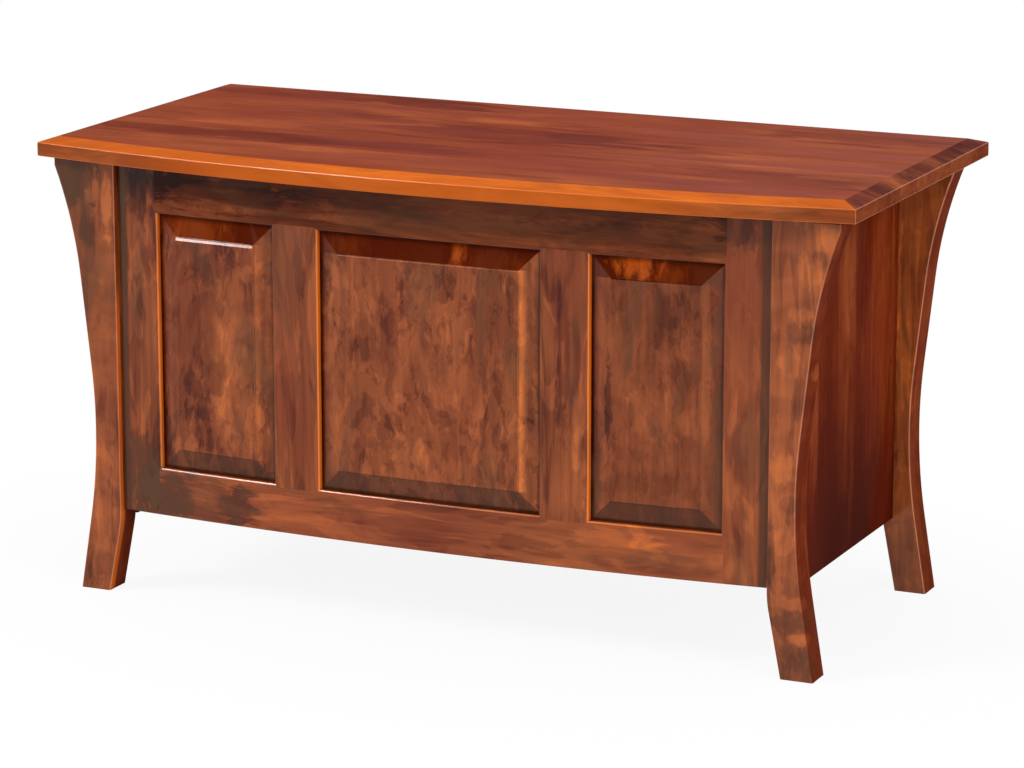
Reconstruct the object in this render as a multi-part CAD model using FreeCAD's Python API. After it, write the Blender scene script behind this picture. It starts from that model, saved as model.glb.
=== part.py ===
"""Bow-front blanket chest: a lidded frame-and-panel case on four curved legs.

Frame: millimetres, +Z up, X along the chest, -Y is the front. The origin is on the floor, below
the middle of the lid. Each sub-part is written to parts/NODE.step.
"""

import FreeCAD, Part
import math
import os

# ---------------------------------------------------------------- driving dimensions, mm

# Lid: edge-glued boards that run along the chest, with a bowed front edge and bevelled margins.
lid_length = 1219.0
lid_depth = 611.0
lid_bow = 57.0
lid_thickness = 27.0
lid_bevel_drop = 7.5
lid_front_bevel = 26.0
lid_end_bevel = 24.0
lid_back_bevel = 24.0
lid_arris = 2.2
lid_board_widths = (151.0, 78.0, 36.0, 210.0)  # front to back; one more board takes the rest
lid_gap = 2.0

# Where the lid stands out past the tops of the legs and the case.
lid_end_overhang = 22.5
lid_front_overhang = 48.0
lid_corner_overhang = 7.3
lid_back_overhang = 39.0

# Case.
case_top = 624.0
front_bow = 24.9
front_bottom = 121.3
side_bottom = 107.0

# Legs: one sawn board each, straight on the side that joins the case.
leg_thickness = 44.5
leg_top_width = 95.7
leg_top_land = 10.5
leg_flare_radius = 620.0
leg_lean = 0.11
leg_waist_width = 39.0
leg_waist_height = 240.0
leg_waist_radius = 821.0
foot_reach = 67.6
foot_width = 46.6
foot_turn_radius = 150.0
leg_arris = 2.2

# Front frame and its raised panels.
frame_thickness = 22.0
stile_width = 66.8
mullion_width = 72.1
centre_opening = 332.0
top_rail_height = 68.1
bottom_rail_height = 68.9
sticking_radius = 4.0
frame_lip = 8.5
panel_tongue = 6.0
groove_depth = 9.0
tongue_gap = 1.0
groove_slack = 0.2
tenon_slack = 0.1
panel_bevel = 30.0
panel_step = 1.3
panel_field_setback = 0.5
panel_field_arris = 0.8
frame_arris = 1.0

# Sides, back and bottom.
side_thickness = 19.0
side_offset = 16.5
back_thickness = 19.0
panel_arris = 1.0
bottom_thickness = 12.0
bottom_slack = 1.0
ledger_size = 18.0
ledger_rise = 3.0
hinge_rail_height = 44.0
hinge_rail_thickness = 19.0
hinge_rail_screw_drop = 27.0

# Dowels between legs and case. Those of the sides lie between the heights of the others.
dowel_radius = 5.0
dowel_length = 48.0
dowel_count = 4
dowel_margin = 42.0
side_dowel_radius = 4.0
side_dowel_length = 34.0
side_dowel_count = 3
side_dowel_margin = 84.0
dowel_slack = 0.1
dowel_end_gap = 0.5

# Screws.
screw_radius = 2.0
screw_head_radius = 3.8
screw_head_height = 2.2
screw_slack = 0.1
screw_head_sink = 0.1
case_screw_length = 30.0
case_screw_count = 4
case_screw_margin = 100.0

# Battens across the underside of the lid.
batten_width = 46.0
batten_thickness = 20.0
batten_length = 400.0
batten_place = 300.0
batten_chamfer = 8.0
batten_screw_length = 36.0
batten_screw_room = 25.0

# Bumpers under the lid corners.
bumper_radius = 6.0

# Butt hinges.
hinge_count = 3
hinge_end_margin = 111.0
hinge_length = 76.0
hinge_leaf_width = 28.0
hinge_leaf_thickness = 2.0
hinge_leaf_gap = 0.1
hinge_barrel_radius = 4.0
hinge_pin_radius = 2.5
hinge_pin_slack = 0.05
hinge_knuckles = 5
hinge_knuckle_gap = 0.2
hinge_clearance = 0.4
hinge_pin_head = 3.4
hinge_pin_tip = 2.0
hinge_pin_head_length = 2.5
hinge_screw_length = 17.0
hinge_screw_pitch = 26.0
hinge_screw_stagger = 8.0

# Slotted lid stays.
stay_reach = 230.0
stay_pivot_drop = 14.0
stay_pin_angle = 20.0
stay_arm_width = 15.0
stay_arm_thickness = 3.0
stay_pin_radius = 3.0
stay_slot_slack = 0.3
stay_plate_thickness = 2.0
stay_plate_width = 20.0
stay_plate_length = 46.0
stay_plate_corner = 5.0
stay_arm_clearance = 2.0
stay_knob_radius = 9.0
stay_knob_length = 8.0
stay_knob_arris = 1.6
stay_knob_bore_depth = 5.6
stay_knob_clearance = 0.5
stay_knob_slack = 0.05
stay_rivet_radius = 2.5
stay_rivet_slack = 0.05
stay_rivet_head = 5.0
stay_rivet_crown = 3.5
stay_rivet_head_length = 1.8
stay_rivet_foot = 4.0
stay_rivet_foot_length = 1.2
stay_bracket_length = 40.0
stay_bracket_width = 18.0
stay_ear_thickness = 2.5
stay_ear_clearance = 0.5
stay_foot_gap = 0.3
stay_screw_length = 15.0
stay_screw_margin = 8.0
lid_travel = 90.0

# How far a cutting tool runs past the face that it opens, the length under which an edge is only a
# corner, and the distance under which two places are the same.
cut_overshoot = 1.0
short_edge = 1.0
same_place = 0.05

# ---------------------------------------------------------------- sizes that follow

lid_underside = case_top + lid_gap
lid_top = lid_underside + lid_thickness
lid_front = -lid_depth / 2
lid_back = lid_depth / 2
lid_corner = lid_front + lid_bow
leg_front = lid_corner + lid_corner_overhang
case_back = lid_back - lid_back_overhang
case_half = lid_length / 2 - lid_end_overhang - leg_top_width
front_face = lid_front + lid_front_overhang
opening_bottom = front_bottom + bottom_rail_height
opening_top = case_top - top_rail_height
side_outer = case_half + side_offset
side_inner = side_outer - side_thickness
back_inner = case_back - back_thickness
ledger_bottom = front_bottom + ledger_rise
board_bottom = ledger_bottom + ledger_size
hinge_y = case_back + hinge_barrel_radius + hinge_clearance
hinge_z = case_top + lid_gap / 2


def vec(x, y, z):
    return FreeCAD.Vector(x, y, z)


def write(name, *solids):
    """Writes one sub-part, which may be a group of like solids."""
    shape = solids[0] if len(solids) == 1 else Part.makeCompound(list(solids))
    shape.exportStep("parts/" + name + ".step")


def block(x0, x1, y0, y1, z0, z1):
    """A box between two corners."""
    return Part.makeBox(x1 - x0, y1 - y0, z1 - z0, vec(x0, y0, z0))


def rounded(shape, radius, picks):
    """Fillets the edges that the test picks."""
    edges = [e for e in shape.Edges if picks(e)]
    return shape.makeFillet(radius, edges)


def mirrored(shape):
    """The same piece on the other end of the chest."""
    return shape.mirror(vec(0, 0, 0), vec(1, 0, 0))


def spread(first, last, count):
    """Evenly spaced places, both ends included, or the middle for just one."""
    if count < 2:
        return [(first + last) / 2]
    return [first + (last - first) * i / (count - 1) for i in range(count)]


# ---------------------------------------------------------------- bowed plans


def bow_radius(half_chord, rise):
    return (half_chord**2 + rise**2) / (2 * rise)


front_radius = bow_radius(case_half, front_bow)
front_centre = front_face + front_radius
lid_radius = bow_radius(lid_length / 2, lid_bow)
lid_centre = lid_front + lid_radius


def front_y(x, depth=0.0):
    """Where the bowed front lies at x, that far behind its face."""
    return front_centre - math.sqrt((front_radius - depth) ** 2 - x**2)


def front_point(x, depth, z=0.0):
    return vec(x, front_y(x, depth), z)


def bowed_arc(x0, x1, depth, z):
    """An arc that follows the bowed front."""
    points = [front_point(x, depth, z) for x in (x0, (x0 + x1) / 2, x1)]
    return Part.Arc(*points).toShape()


def bowed_slab(x0, x1, z0, z1, depth0, depth1):
    """A piece of the bowed front between two depths behind its face."""
    edges = [
        bowed_arc(x0, x1, depth0, z0),
        Part.makeLine(front_point(x1, depth0, z0), front_point(x1, depth1, z0)),
        bowed_arc(x1, x0, depth1, z0),
        Part.makeLine(front_point(x0, depth1, z0), front_point(x0, depth0, z0)),
    ]
    return Part.Face(Part.Wire(edges)).extrude(vec(0, 0, z1 - z0))


def edge_middle(edge):
    return edge.valueAt((edge.FirstParameter + edge.LastParameter) / 2)


def near(a, b):
    return abs(a - b) < same_place


# ---------------------------------------------------------------- screws


def screw(head, direction, length):
    """A countersunk screw whose head's face is at the given point."""
    shank = Part.makeCylinder(screw_radius, length, head, direction)
    cone = Part.makeCone(screw_head_radius, screw_radius, screw_head_height, head, direction)
    return shank.fuse(cone)


def screw_hole(head, direction, length):
    """The countersunk hole that takes such a screw, from just outside the face."""
    above = screw_head_sink + 2 * screw_slack
    start = head - direction * above
    bore = screw_radius + screw_slack
    shank = Part.makeCylinder(bore, above + length + screw_slack, start, direction)
    cone = Part.makeCone(screw_head_radius + above, bore, screw_head_height + above, start, direction)
    return shank.fuse(cone)


def cut_all(shape, tools):
    return shape.cut(tools) if tools else shape


# ---------------------------------------------------------------- lid


def lid_outline(front_run, end_run, back_run, z):
    """The lid's outline, drawn in from its edges by these amounts."""
    half = lid_length / 2 - end_run
    radius = lid_radius - front_run
    corner_y = lid_centre - math.sqrt(radius**2 - half**2)
    left = vec(-half, corner_y, z)
    right = vec(half, corner_y, z)
    middle = vec(0, lid_centre - radius, z)
    back_right = vec(half, lid_back - back_run, z)
    back_left = vec(-half, lid_back - back_run, z)
    edges = [
        Part.Arc(left, middle, right).toShape(),
        Part.makeLine(right, back_right),
        Part.makeLine(back_right, back_left),
        Part.makeLine(back_left, left),
    ]
    return Part.Wire(edges)


def lid_blank():
    """The whole lid before it is divided into its boards."""
    edge_top = lid_top - lid_bevel_drop
    outer = lid_outline(0, 0, 0, edge_top)
    inner = lid_outline(lid_front_bevel, lid_end_bevel, lid_back_bevel, lid_top)
    slab = Part.Face(lid_outline(0, 0, 0, lid_underside)).extrude(vec(0, 0, edge_top - lid_underside))
    bevel = Part.makeLoft([outer, inner], True, True)
    blank = slab.fuse(bevel).removeSplitter()
    return rounded(blank, lid_arris, lambda e: e.BoundBox.ZMax < edge_top + same_place)


def lid_board_spans():
    """Where each board begins and ends, from front to back."""
    seams = [lid_front]
    for width in lid_board_widths:
        seams.append(seams[-1] + width)
    seams.append(lid_back)
    return list(zip(seams, seams[1:]))


def hinge_places():
    reach = case_half - hinge_end_margin
    return spread(-reach, reach, hinge_count)


def lid_hinge_pockets():
    """Pockets in the lid's underside for the hinge leaves and barrels."""
    tools = []
    leaf_top = hinge_z + hinge_leaf_gap + hinge_leaf_thickness
    leaf_front = hinge_y - hinge_barrel_radius - hinge_leaf_width
    barrel = hinge_barrel_radius + hinge_clearance
    y0 = hinge_y - barrel
    y1 = hinge_y + barrel
    spare = hinge_pin_head_length + hinge_clearance
    for x in hinge_places():
        x0 = x - hinge_length / 2
        x1 = x + hinge_length / 2
        tools.append(block(x0, x1, leaf_front, hinge_y, lid_underside, leaf_top))
        tools.append(block(x0 - spare, x1 + spare, y0, y1, lid_underside, hinge_z + barrel))
    return tools


def hinge_screw_places(x, stagger):
    """Screw centres on one hinge leaf, in plan."""
    y = hinge_y - hinge_barrel_radius - hinge_leaf_width / 2
    return [(x + stagger + hinge_screw_pitch * k, y) for k in (-1, 0, 1)]


def lid_hinge_screws(maker):
    made = []
    face = hinge_z + hinge_leaf_gap + screw_head_sink
    for x in hinge_places():
        for sx, sy in hinge_screw_places(x, -hinge_screw_stagger / 2):
            made.append(maker(vec(sx, sy, face), vec(0, 0, 1), hinge_screw_length))
    return made


def case_hinge_screws(maker):
    made = []
    face = hinge_z - hinge_leaf_gap - screw_head_sink
    for x in hinge_places():
        for sx, sy in hinge_screw_places(x, hinge_screw_stagger / 2):
            made.append(maker(vec(sx, sy, face), vec(0, 0, -1), hinge_screw_length))
    return made


def batten_screws(maker):
    """One screw from each batten into each board that it crosses."""
    made = []
    face = lid_underside - batten_thickness + screw_head_sink
    start = batten_middle() - batten_length / 2
    for low, high in lid_board_spans():
        low = max(low, start)
        high = min(high, start + batten_length)
        if high - low < batten_screw_room:
            continue
        for x in (-batten_place, batten_place):
            made.append(maker(vec(x, (low + high) / 2, face), vec(0, 0, 1), batten_screw_length))
    return made


def stay_lid_screws(maker):
    made = []
    face = lid_underside - stay_plate_thickness + screw_head_sink
    reach = stay_bracket_length / 2 - stay_screw_margin
    for side in (-1, 1):
        for y in (stay_pivot[0] - reach, stay_pivot[0] + reach):
            made.append(maker(vec(side * stay_bracket_middle, y, face), vec(0, 0, 1), stay_screw_length))
    return made


def make_lid():
    """The boards, battens and bumpers."""
    blank = lid_blank()
    tools = lid_hinge_pockets() + lid_hinge_screws(screw_hole) + batten_screws(screw_hole)
    tools += stay_lid_screws(screw_hole)
    for i, (low, high) in enumerate(lid_board_spans()):
        z0 = lid_underside - cut_overshoot
        strip = block(-lid_length, lid_length, low, high, z0, lid_top + cut_overshoot)
        board = blank.common(strip)
        write("lid_board_%d" % (i + 1), cut_all(board, holes_near(board, tools)))
    write("lid_batten_left", lid_batten(-batten_place))
    write("lid_batten_right", lid_batten(batten_place))
    write("lid_batten_screws", *batten_screws(screw))
    write("lid_bumpers", *lid_bumpers())


def batten_middle():
    """The battens lie midway between the inside of the front and the hinge rail."""
    return (front_y(batten_place, frame_thickness) + back_inner - hinge_rail_thickness) / 2


def lid_batten(x):
    """A batten that keeps the glued boards flat, with its ends chamfered."""
    y0 = batten_middle() - batten_length / 2
    y1 = y0 + batten_length
    low = lid_underside - batten_thickness
    corners = [
        vec(x - batten_width / 2, y0, lid_underside),
        vec(x - batten_width / 2, y0, low + batten_chamfer),
        vec(x - batten_width / 2, y0 + batten_chamfer, low),
        vec(x - batten_width / 2, y1 - batten_chamfer, low),
        vec(x - batten_width / 2, y1, low + batten_chamfer),
        vec(x - batten_width / 2, y1, lid_underside),
    ]
    side = Part.Face(Part.makePolygon(corners + corners[:1]))
    bar = side.extrude(vec(batten_width, 0, 0))
    return bar.cut([t for t in batten_screws(screw_hole) if near(t.BoundBox.Center.x, x)])


def lid_bumpers():
    """Soft discs that the lid comes down on, one over each leg."""
    x = case_half + foot_reach / 2 - bumper_radius
    places = [(x, leg_front + leg_thickness / 2), (x, case_back - leg_thickness / 2)]
    return [
        Part.makeCylinder(bumper_radius, lid_gap, vec(side * px, py, case_top))
        for px, py in places
        for side in (-1, 1)
    ]


# ---------------------------------------------------------------- legs


def tangent_point(centre, radius, start, side):
    """Where the line from the start touches the circle, on one side of its centre."""
    reach = centre - start
    along = math.sqrt(reach.Length**2 - radius**2)
    angle = math.asin(radius / reach.Length)
    reach.normalize()
    turned = FreeCAD.Rotation(vec(0, 1, 0), math.degrees(side * angle)).multVec(reach)
    return start + turned * along


def arc_about(centre, radius, start, end):
    """The short way round a circle between two of its points."""
    middle = (start + end) / 2 - centre
    middle.normalize()
    return Part.Arc(start, centre + middle * radius, end).toShape()


def leg_blank(y0):
    """A right-hand leg with its front face at y0.

    Its outer edge is straight at the foot, hollow at the waist, straight as it leans out, hollow
    again where it flares, and upright for the last bit. Its inner edge turns out only below the case.
    """

    def place(width, z):
        return vec(case_half + width, y0, z)

    inner_foot = place(foot_reach - foot_width, 0)
    turn_centre = place(foot_turn_radius, front_bottom)
    inner_touch = tangent_point(turn_centre, foot_turn_radius, inner_foot, -1)
    inner_end = place(0, front_bottom)

    outer_foot = place(foot_reach, 0)
    waist_centre = place(leg_waist_width + leg_waist_radius, leg_waist_height)
    ankle = tangent_point(waist_centre, leg_waist_radius, outer_foot, -1)
    lean = math.atan(leg_lean)
    along = vec(math.sin(lean), 0, math.cos(lean))
    outward = vec(math.cos(lean), 0, -math.sin(lean))
    knee = waist_centre - outward * leg_waist_radius
    land_end = place(leg_top_width, case_top - leg_top_land)
    flare = (land_end - knee).dot(outward)
    flare_start = (land_end - knee).dot(along) - math.sqrt(flare * (2 * leg_flare_radius - flare))
    shoulder = knee + along * flare_start
    flare_centre = shoulder + outward * leg_flare_radius

    edges = [
        Part.makeLine(place(0, case_top), place(leg_top_width, case_top)),
        Part.makeLine(place(leg_top_width, case_top), land_end),
        arc_about(flare_centre, leg_flare_radius, land_end, shoulder),
        Part.makeLine(shoulder, knee),
        arc_about(waist_centre, leg_waist_radius, knee, ankle),
        Part.makeLine(ankle, outer_foot),
        Part.makeLine(outer_foot, inner_foot),
        Part.makeLine(inner_foot, inner_touch),
        arc_about(turn_centre, foot_turn_radius, inner_touch, inner_end),
        Part.makeLine(inner_end, place(0, case_top)),
    ]
    blank = Part.Face(Part.Wire(edges)).extrude(vec(0, leg_thickness, 0))

    def is_face_edge(edge):
        return edge.BoundBox.YLength < same_place and edge.BoundBox.ZMax > short_edge

    return rounded(blank, leg_arris, is_face_edge)


def end_dowels(y, radius, length):
    """A row of dowels between one end of the case and a right-hand leg."""
    heights = spread(front_bottom + dowel_margin, case_top - dowel_margin, dowel_count)
    start = case_half - length / 2
    return [Part.makeCylinder(radius, length, vec(start, y, z), vec(1, 0, 0)) for z in heights]


def frame_dowels(radius, length):
    return end_dowels(front_y(case_half, frame_thickness / 2), radius, length)


def back_dowels(radius, length):
    return end_dowels(case_back - back_thickness / 2, radius, length)


def side_dowels(radius, length):
    """Dowels between the side panel's edges and the legs, right-hand side."""
    x = side_outer - side_thickness / 2
    heights = spread(side_bottom + side_dowel_margin, case_top - side_dowel_margin, side_dowel_count)
    starts = (leg_front + leg_thickness - length / 2, case_back - leg_thickness - length / 2)
    return [Part.makeCylinder(radius, length, vec(x, y, z), vec(0, 1, 0)) for y in starts for z in heights]


def dowel_holes():
    """Every dowel hole on the right-hand side."""
    wide = dowel_radius + dowel_slack
    long = dowel_length + 2 * dowel_end_gap
    side_wide = side_dowel_radius + dowel_slack
    side_long = side_dowel_length + 2 * dowel_end_gap
    return frame_dowels(wide, long) + back_dowels(wide, long) + side_dowels(side_wide, side_long)


def holes_near(shape, holes):
    box = shape.BoundBox
    return [h for h in holes if h.BoundBox.intersect(box)]


def make_legs():
    holes = dowel_holes()
    places = {"front": leg_front, "back": case_back - leg_thickness}
    for name, y0 in places.items():
        blank = leg_blank(y0)
        leg = cut_all(blank, holes_near(blank, holes))
        write(name + "_leg_right", leg)
        write(name + "_leg_left", mirrored(leg))


def make_dowels():
    front = frame_dowels(dowel_radius, dowel_length)
    back = back_dowels(dowel_radius, dowel_length)
    sides = side_dowels(side_dowel_radius, side_dowel_length)
    write("front_leg_dowels", *front, *[mirrored(d) for d in front])
    write("back_leg_dowels", *back, *[mirrored(d) for d in back])
    write("side_panel_dowels", *sides, *[mirrored(d) for d in sides])


# ---------------------------------------------------------------- front frame


def groove(x0, x1, z0, z1):
    """A groove for the panel tongues in the middle of the frame's thickness."""
    return bowed_slab(x0, x1, z0, z1, frame_lip, frame_lip + panel_tongue + 2 * groove_slack)


def stub_tenon(x0, x1, z0, z1):
    """A tongue on the end of a rail or mullion that fills the groove it enters."""
    low = frame_lip + tenon_slack
    high = frame_lip + panel_tongue + 2 * groove_slack - tenon_slack
    return bowed_slab(x0, x1, z0, z1, low, high)


def is_front_edge(edge, x=None, z=None):
    """An edge in the bowed face, at that x or that height."""
    middle = edge_middle(edge)
    if not near(middle.y, front_y(middle.x)):
        return False
    if x is not None:
        return near(middle.x, x) and edge.BoundBox.ZLength > short_edge
    return near(middle.z, z) and edge.BoundBox.XLength > short_edge


def frame_stile():
    """The right-hand stile, full height, grooved on its inner edge."""
    inner = case_half - stile_width
    blank = bowed_slab(inner, case_half, front_bottom, case_top, 0, frame_thickness)
    blank = rounded(blank, sticking_radius, lambda e: is_front_edge(e, x=inner))
    ends = (front_bottom, case_top)
    blank = rounded(blank, frame_arris, lambda e: any(is_front_edge(e, z=end) for end in ends))
    z0 = front_bottom - cut_overshoot
    z1 = case_top + cut_overshoot
    blank = blank.cut(groove(inner - cut_overshoot, inner + groove_depth, z0, z1))
    return cut_all(blank, holes_near(blank, dowel_holes() + case_screws(screw_hole)))


def frame_rail(z0, z1, edge_z, stiles):
    """A rail between the stiles, coped over their rounded edges."""
    reach = case_half - stile_width
    coped = reach + sticking_radius
    tongue = reach + groove_depth - tongue_gap
    past = tongue + cut_overshoot
    blank = bowed_slab(-coped, coped, z0, z1, 0, frame_lip)
    body = bowed_slab(-reach, reach, z0, z1, 0, frame_thickness)
    blank = blank.fuse(body).removeSplitter()
    blank = rounded(blank, sticking_radius, lambda e: is_front_edge(e, z=edge_z))
    blank = rounded(blank, frame_arris, lambda e: is_front_edge(e, z=z0 + z1 - edge_z))
    inward = 1 if near(edge_z, z1) else -1
    low, high = sorted((edge_z + inward * cut_overshoot, edge_z - inward * groove_depth))
    slot = groove(-past, past, low, high)
    blank = blank.cut(slot).fuse(stub_tenon(-tongue, tongue, z0, z1).cut(slot))
    return blank.cut(stiles)


def frame_mullion(rails):
    """The right-hand mullion, coped between the rails."""
    x0 = centre_opening / 2
    x1 = x0 + mullion_width
    over = groove_depth - tongue_gap
    coped_bottom = opening_bottom - sticking_radius
    coped_top = opening_top + sticking_radius
    blank = bowed_slab(x0, x1, coped_bottom, coped_top, 0, frame_lip)
    blank = blank.fuse(bowed_slab(x0, x1, opening_bottom, opening_top, 0, frame_thickness)).removeSplitter()
    blank = rounded(blank, sticking_radius, lambda e: is_front_edge(e, x=x0) or is_front_edge(e, x=x1))
    tenon = stub_tenon(x0, x1, opening_bottom - over, opening_top + over)
    blank = blank.fuse(tenon)
    z0 = opening_bottom - groove_depth
    z1 = opening_top + groove_depth
    left_slot = groove(x0 - cut_overshoot, x0 + groove_depth, z0, z1)
    right_slot = groove(x1 - groove_depth, x1 + cut_overshoot, z0, z1)
    return blank.cut([left_slot, right_slot]).cut(rails)


def raised_panel(x0, x1):
    """A panel with a raised field and mitred bevels, which floats in the grooves."""
    tongue = groove_depth - tongue_gap
    back = frame_lip + groove_slack + panel_tongue
    shoulder = frame_lip + groove_slack
    step = panel_field_setback + panel_step
    z0 = opening_bottom
    z1 = opening_top

    def turned(depth, z):
        return vec(0, front_face + depth, z)

    profile = [
        turned(back, z0 - tongue),
        turned(shoulder, z0 - tongue),
        turned(shoulder, z0),
        turned(step, z0 + panel_bevel),
        turned(panel_field_setback, z0 + panel_bevel),
        turned(panel_field_setback, z1 - panel_bevel),
        turned(step, z1 - panel_bevel),
        turned(shoulder, z1),
        turned(shoulder, z1 + tongue),
        turned(back, z1 + tongue),
    ]
    half_angle = math.degrees(math.asin(case_half / (front_radius - frame_thickness)))
    axis_foot = vec(0, front_centre, 0)
    section = Part.Face(Part.makePolygon(profile + profile[:1]))
    section.rotate(axis_foot, vec(0, 0, 1), -half_angle)
    across = section.revolve(axis_foot, vec(0, 0, 1), 2 * half_angle)

    ahead = -cut_overshoot
    low = z0 - tongue - cut_overshoot
    left = [
        (x0 - tongue, frame_thickness),
        (x0 - tongue, shoulder),
        (x0, shoulder),
        (x0 + panel_bevel, step),
        (x0 + panel_bevel, ahead),
    ]
    right = [(x0 + x1 - x, depth) for x, depth in reversed(left)]

    def lines(corners):
        points = [front_point(x, depth, low) for x, depth in corners]
        return [Part.makeLine(a, b) for a, b in zip(points, points[1:])]

    plan = lines(left)
    plan.append(bowed_arc(x0 + panel_bevel, x1 - panel_bevel, ahead, low))
    plan += lines(right)
    plan.append(bowed_arc(x1 + tongue, x0 - tongue, frame_thickness, low))
    height = z1 - z0 + 2 * (tongue + cut_overshoot)
    upright = Part.Face(Part.Wire(plan)).extrude(vec(0, 0, height))
    panel = across.common(upright).removeSplitter()

    def is_field_edge(edge):
        middle = edge_middle(edge)
        return near(middle.y, front_y(middle.x, panel_field_setback))

    return rounded(panel, panel_field_arris, is_field_edge)


def make_front():
    stile = frame_stile()
    stiles = [stile, mirrored(stile)]
    bottom_rail = frame_rail(front_bottom, opening_bottom, opening_bottom, stiles)
    bottom_rail = cut_all(bottom_rail, holes_near(bottom_rail, case_screws(screw_hole)))
    top_rail = frame_rail(opening_top, case_top, opening_top, stiles)
    mullion = frame_mullion([bottom_rail, top_rail])
    write("front_stile_right", stile)
    write("front_stile_left", stiles[1])
    write("front_bottom_rail", bottom_rail)
    write("front_top_rail", top_rail)
    write("front_mullion_right", mullion)
    write("front_mullion_left", mirrored(mullion))
    centre = centre_opening / 2
    outer = raised_panel(centre + mullion_width, case_half - stile_width)
    write("front_panel_centre", raised_panel(-centre, centre))
    write("front_panel_right", outer)
    write("front_panel_left", mirrored(outer))


# ---------------------------------------------------------------- sides, back and bottom


def case_screws(maker):
    """Screws that hold the ledgers and the hinge rail to the case."""
    made = []
    z = ledger_bottom + ledger_size / 2
    rail_z = case_top - hinge_rail_screw_drop
    sunk = screw_head_sink
    reach = side_inner - case_screw_margin
    for x in spread(-reach, reach, case_screw_count):
        front_head = vec(x, front_y(x, frame_thickness + ledger_size) - sunk, z)
        back_head = vec(x, back_inner - ledger_size + sunk, z)
        rail_head = vec(x, back_inner - hinge_rail_thickness + sunk, rail_z)
        made.append(maker(front_head, vec(0, -1, 0), case_screw_length))
        made.append(maker(back_head, vec(0, 1, 0), case_screw_length))
        made.append(maker(rail_head, vec(0, 1, 0), case_screw_length))
    y0 = side_ledger_front() + case_screw_margin
    y1 = back_inner - case_screw_margin
    for y in spread(y0, y1, case_screw_count):
        for side in (-1, 1):
            head = vec(side * (side_inner - ledger_size + sunk), y, z)
            made.append(maker(head, vec(side, 0, 0), case_screw_length))
    return made


def side_ledger_front():
    return leg_front + leg_thickness


def side_panel():
    """The right-hand side, edge-glued boards on end between the legs."""
    y0 = leg_front + leg_thickness
    y1 = case_back - leg_thickness
    slab = block(side_inner, side_outer, y0, y1, side_bottom, case_top)

    def is_bottom_edge(edge):
        return near(edge_middle(edge).z, side_bottom) and edge.BoundBox.YLength > short_edge

    slab = rounded(slab, panel_arris, is_bottom_edge)
    holes = dowel_holes() + case_screws(screw_hole) + stay_case_screws(screw_hole)
    return cut_all(slab, holes_near(slab, holes))


def back_panel():
    """The back, between the back legs and flush with them."""
    slab = block(-case_half, case_half, back_inner, case_back, front_bottom, case_top)
    dowels = dowel_holes()
    holes = dowels + [mirrored(d) for d in dowels] + case_screws(screw_hole) + case_hinge_screws(screw_hole)
    holes += case_hinge_pockets()
    return cut_all(slab, holes_near(slab, holes))


def hinge_rail():
    """A rail inside the top of the back that the hinges are screwed over."""
    low = case_top - hinge_rail_height
    reach = side_inner - bottom_slack
    rail = block(-reach, reach, back_inner - hinge_rail_thickness, back_inner, low, case_top)
    holes = case_screws(screw_hole) + case_hinge_pockets() + case_hinge_screws(screw_hole)
    return cut_all(rail, holes_near(rail, holes))


def case_hinge_pockets():
    """Pockets in the top edge of the back for the hinge leaves."""
    low = hinge_z - hinge_leaf_gap - hinge_leaf_thickness
    high = case_top + cut_overshoot
    y0 = hinge_y - hinge_barrel_radius - hinge_leaf_width
    half = hinge_length / 2
    return [block(x - half, x + half, y0, hinge_y, low, high) for x in hinge_places()]


def bottom_board():
    """The floor of the chest, which lies on the ledgers."""
    reach = side_inner - bottom_slack
    depth = frame_thickness + bottom_slack
    back = back_inner - bottom_slack
    z = board_bottom
    edges = [
        bowed_arc(-reach, reach, depth, z),
        Part.makeLine(front_point(reach, depth, z), vec(reach, back, z)),
        Part.makeLine(vec(reach, back, z), vec(-reach, back, z)),
        Part.makeLine(vec(-reach, back, z), front_point(-reach, depth, z)),
    ]
    return Part.Face(Part.Wire(edges)).extrude(vec(0, 0, bottom_thickness))


def make_ledgers():
    """Four strips round the inside that carry the bottom board."""
    z0 = ledger_bottom
    z1 = z0 + ledger_size
    holes = case_screws(screw_hole)
    reach = side_inner - bottom_slack
    front = bowed_slab(-reach, reach, z0, z1, frame_thickness, frame_thickness + ledger_size)
    back = block(-reach, reach, back_inner - ledger_size, back_inner, z0, z1)
    side_y1 = back_inner - ledger_size - bottom_slack
    side_y0 = front_y(side_inner, frame_thickness + ledger_size) + bottom_slack
    side = block(side_inner - ledger_size, side_inner, max(side_y0, side_ledger_front()), side_y1, z0, z1)
    write("bottom_ledger_front", cut_all(front, holes_near(front, holes)))
    write("bottom_ledger_back", cut_all(back, holes_near(back, holes)))
    side = cut_all(side, holes_near(side, holes))
    write("bottom_ledger_right", side)
    write("bottom_ledger_left", mirrored(side))


def make_case():
    side = side_panel()
    write("side_panel_right", side)
    write("side_panel_left", mirrored(side))
    write("back_panel", back_panel())
    write("hinge_rail", hinge_rail())
    write("bottom_board", bottom_board())
    write("case_screws", *case_screws(screw))


# ---------------------------------------------------------------- hinges


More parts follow.
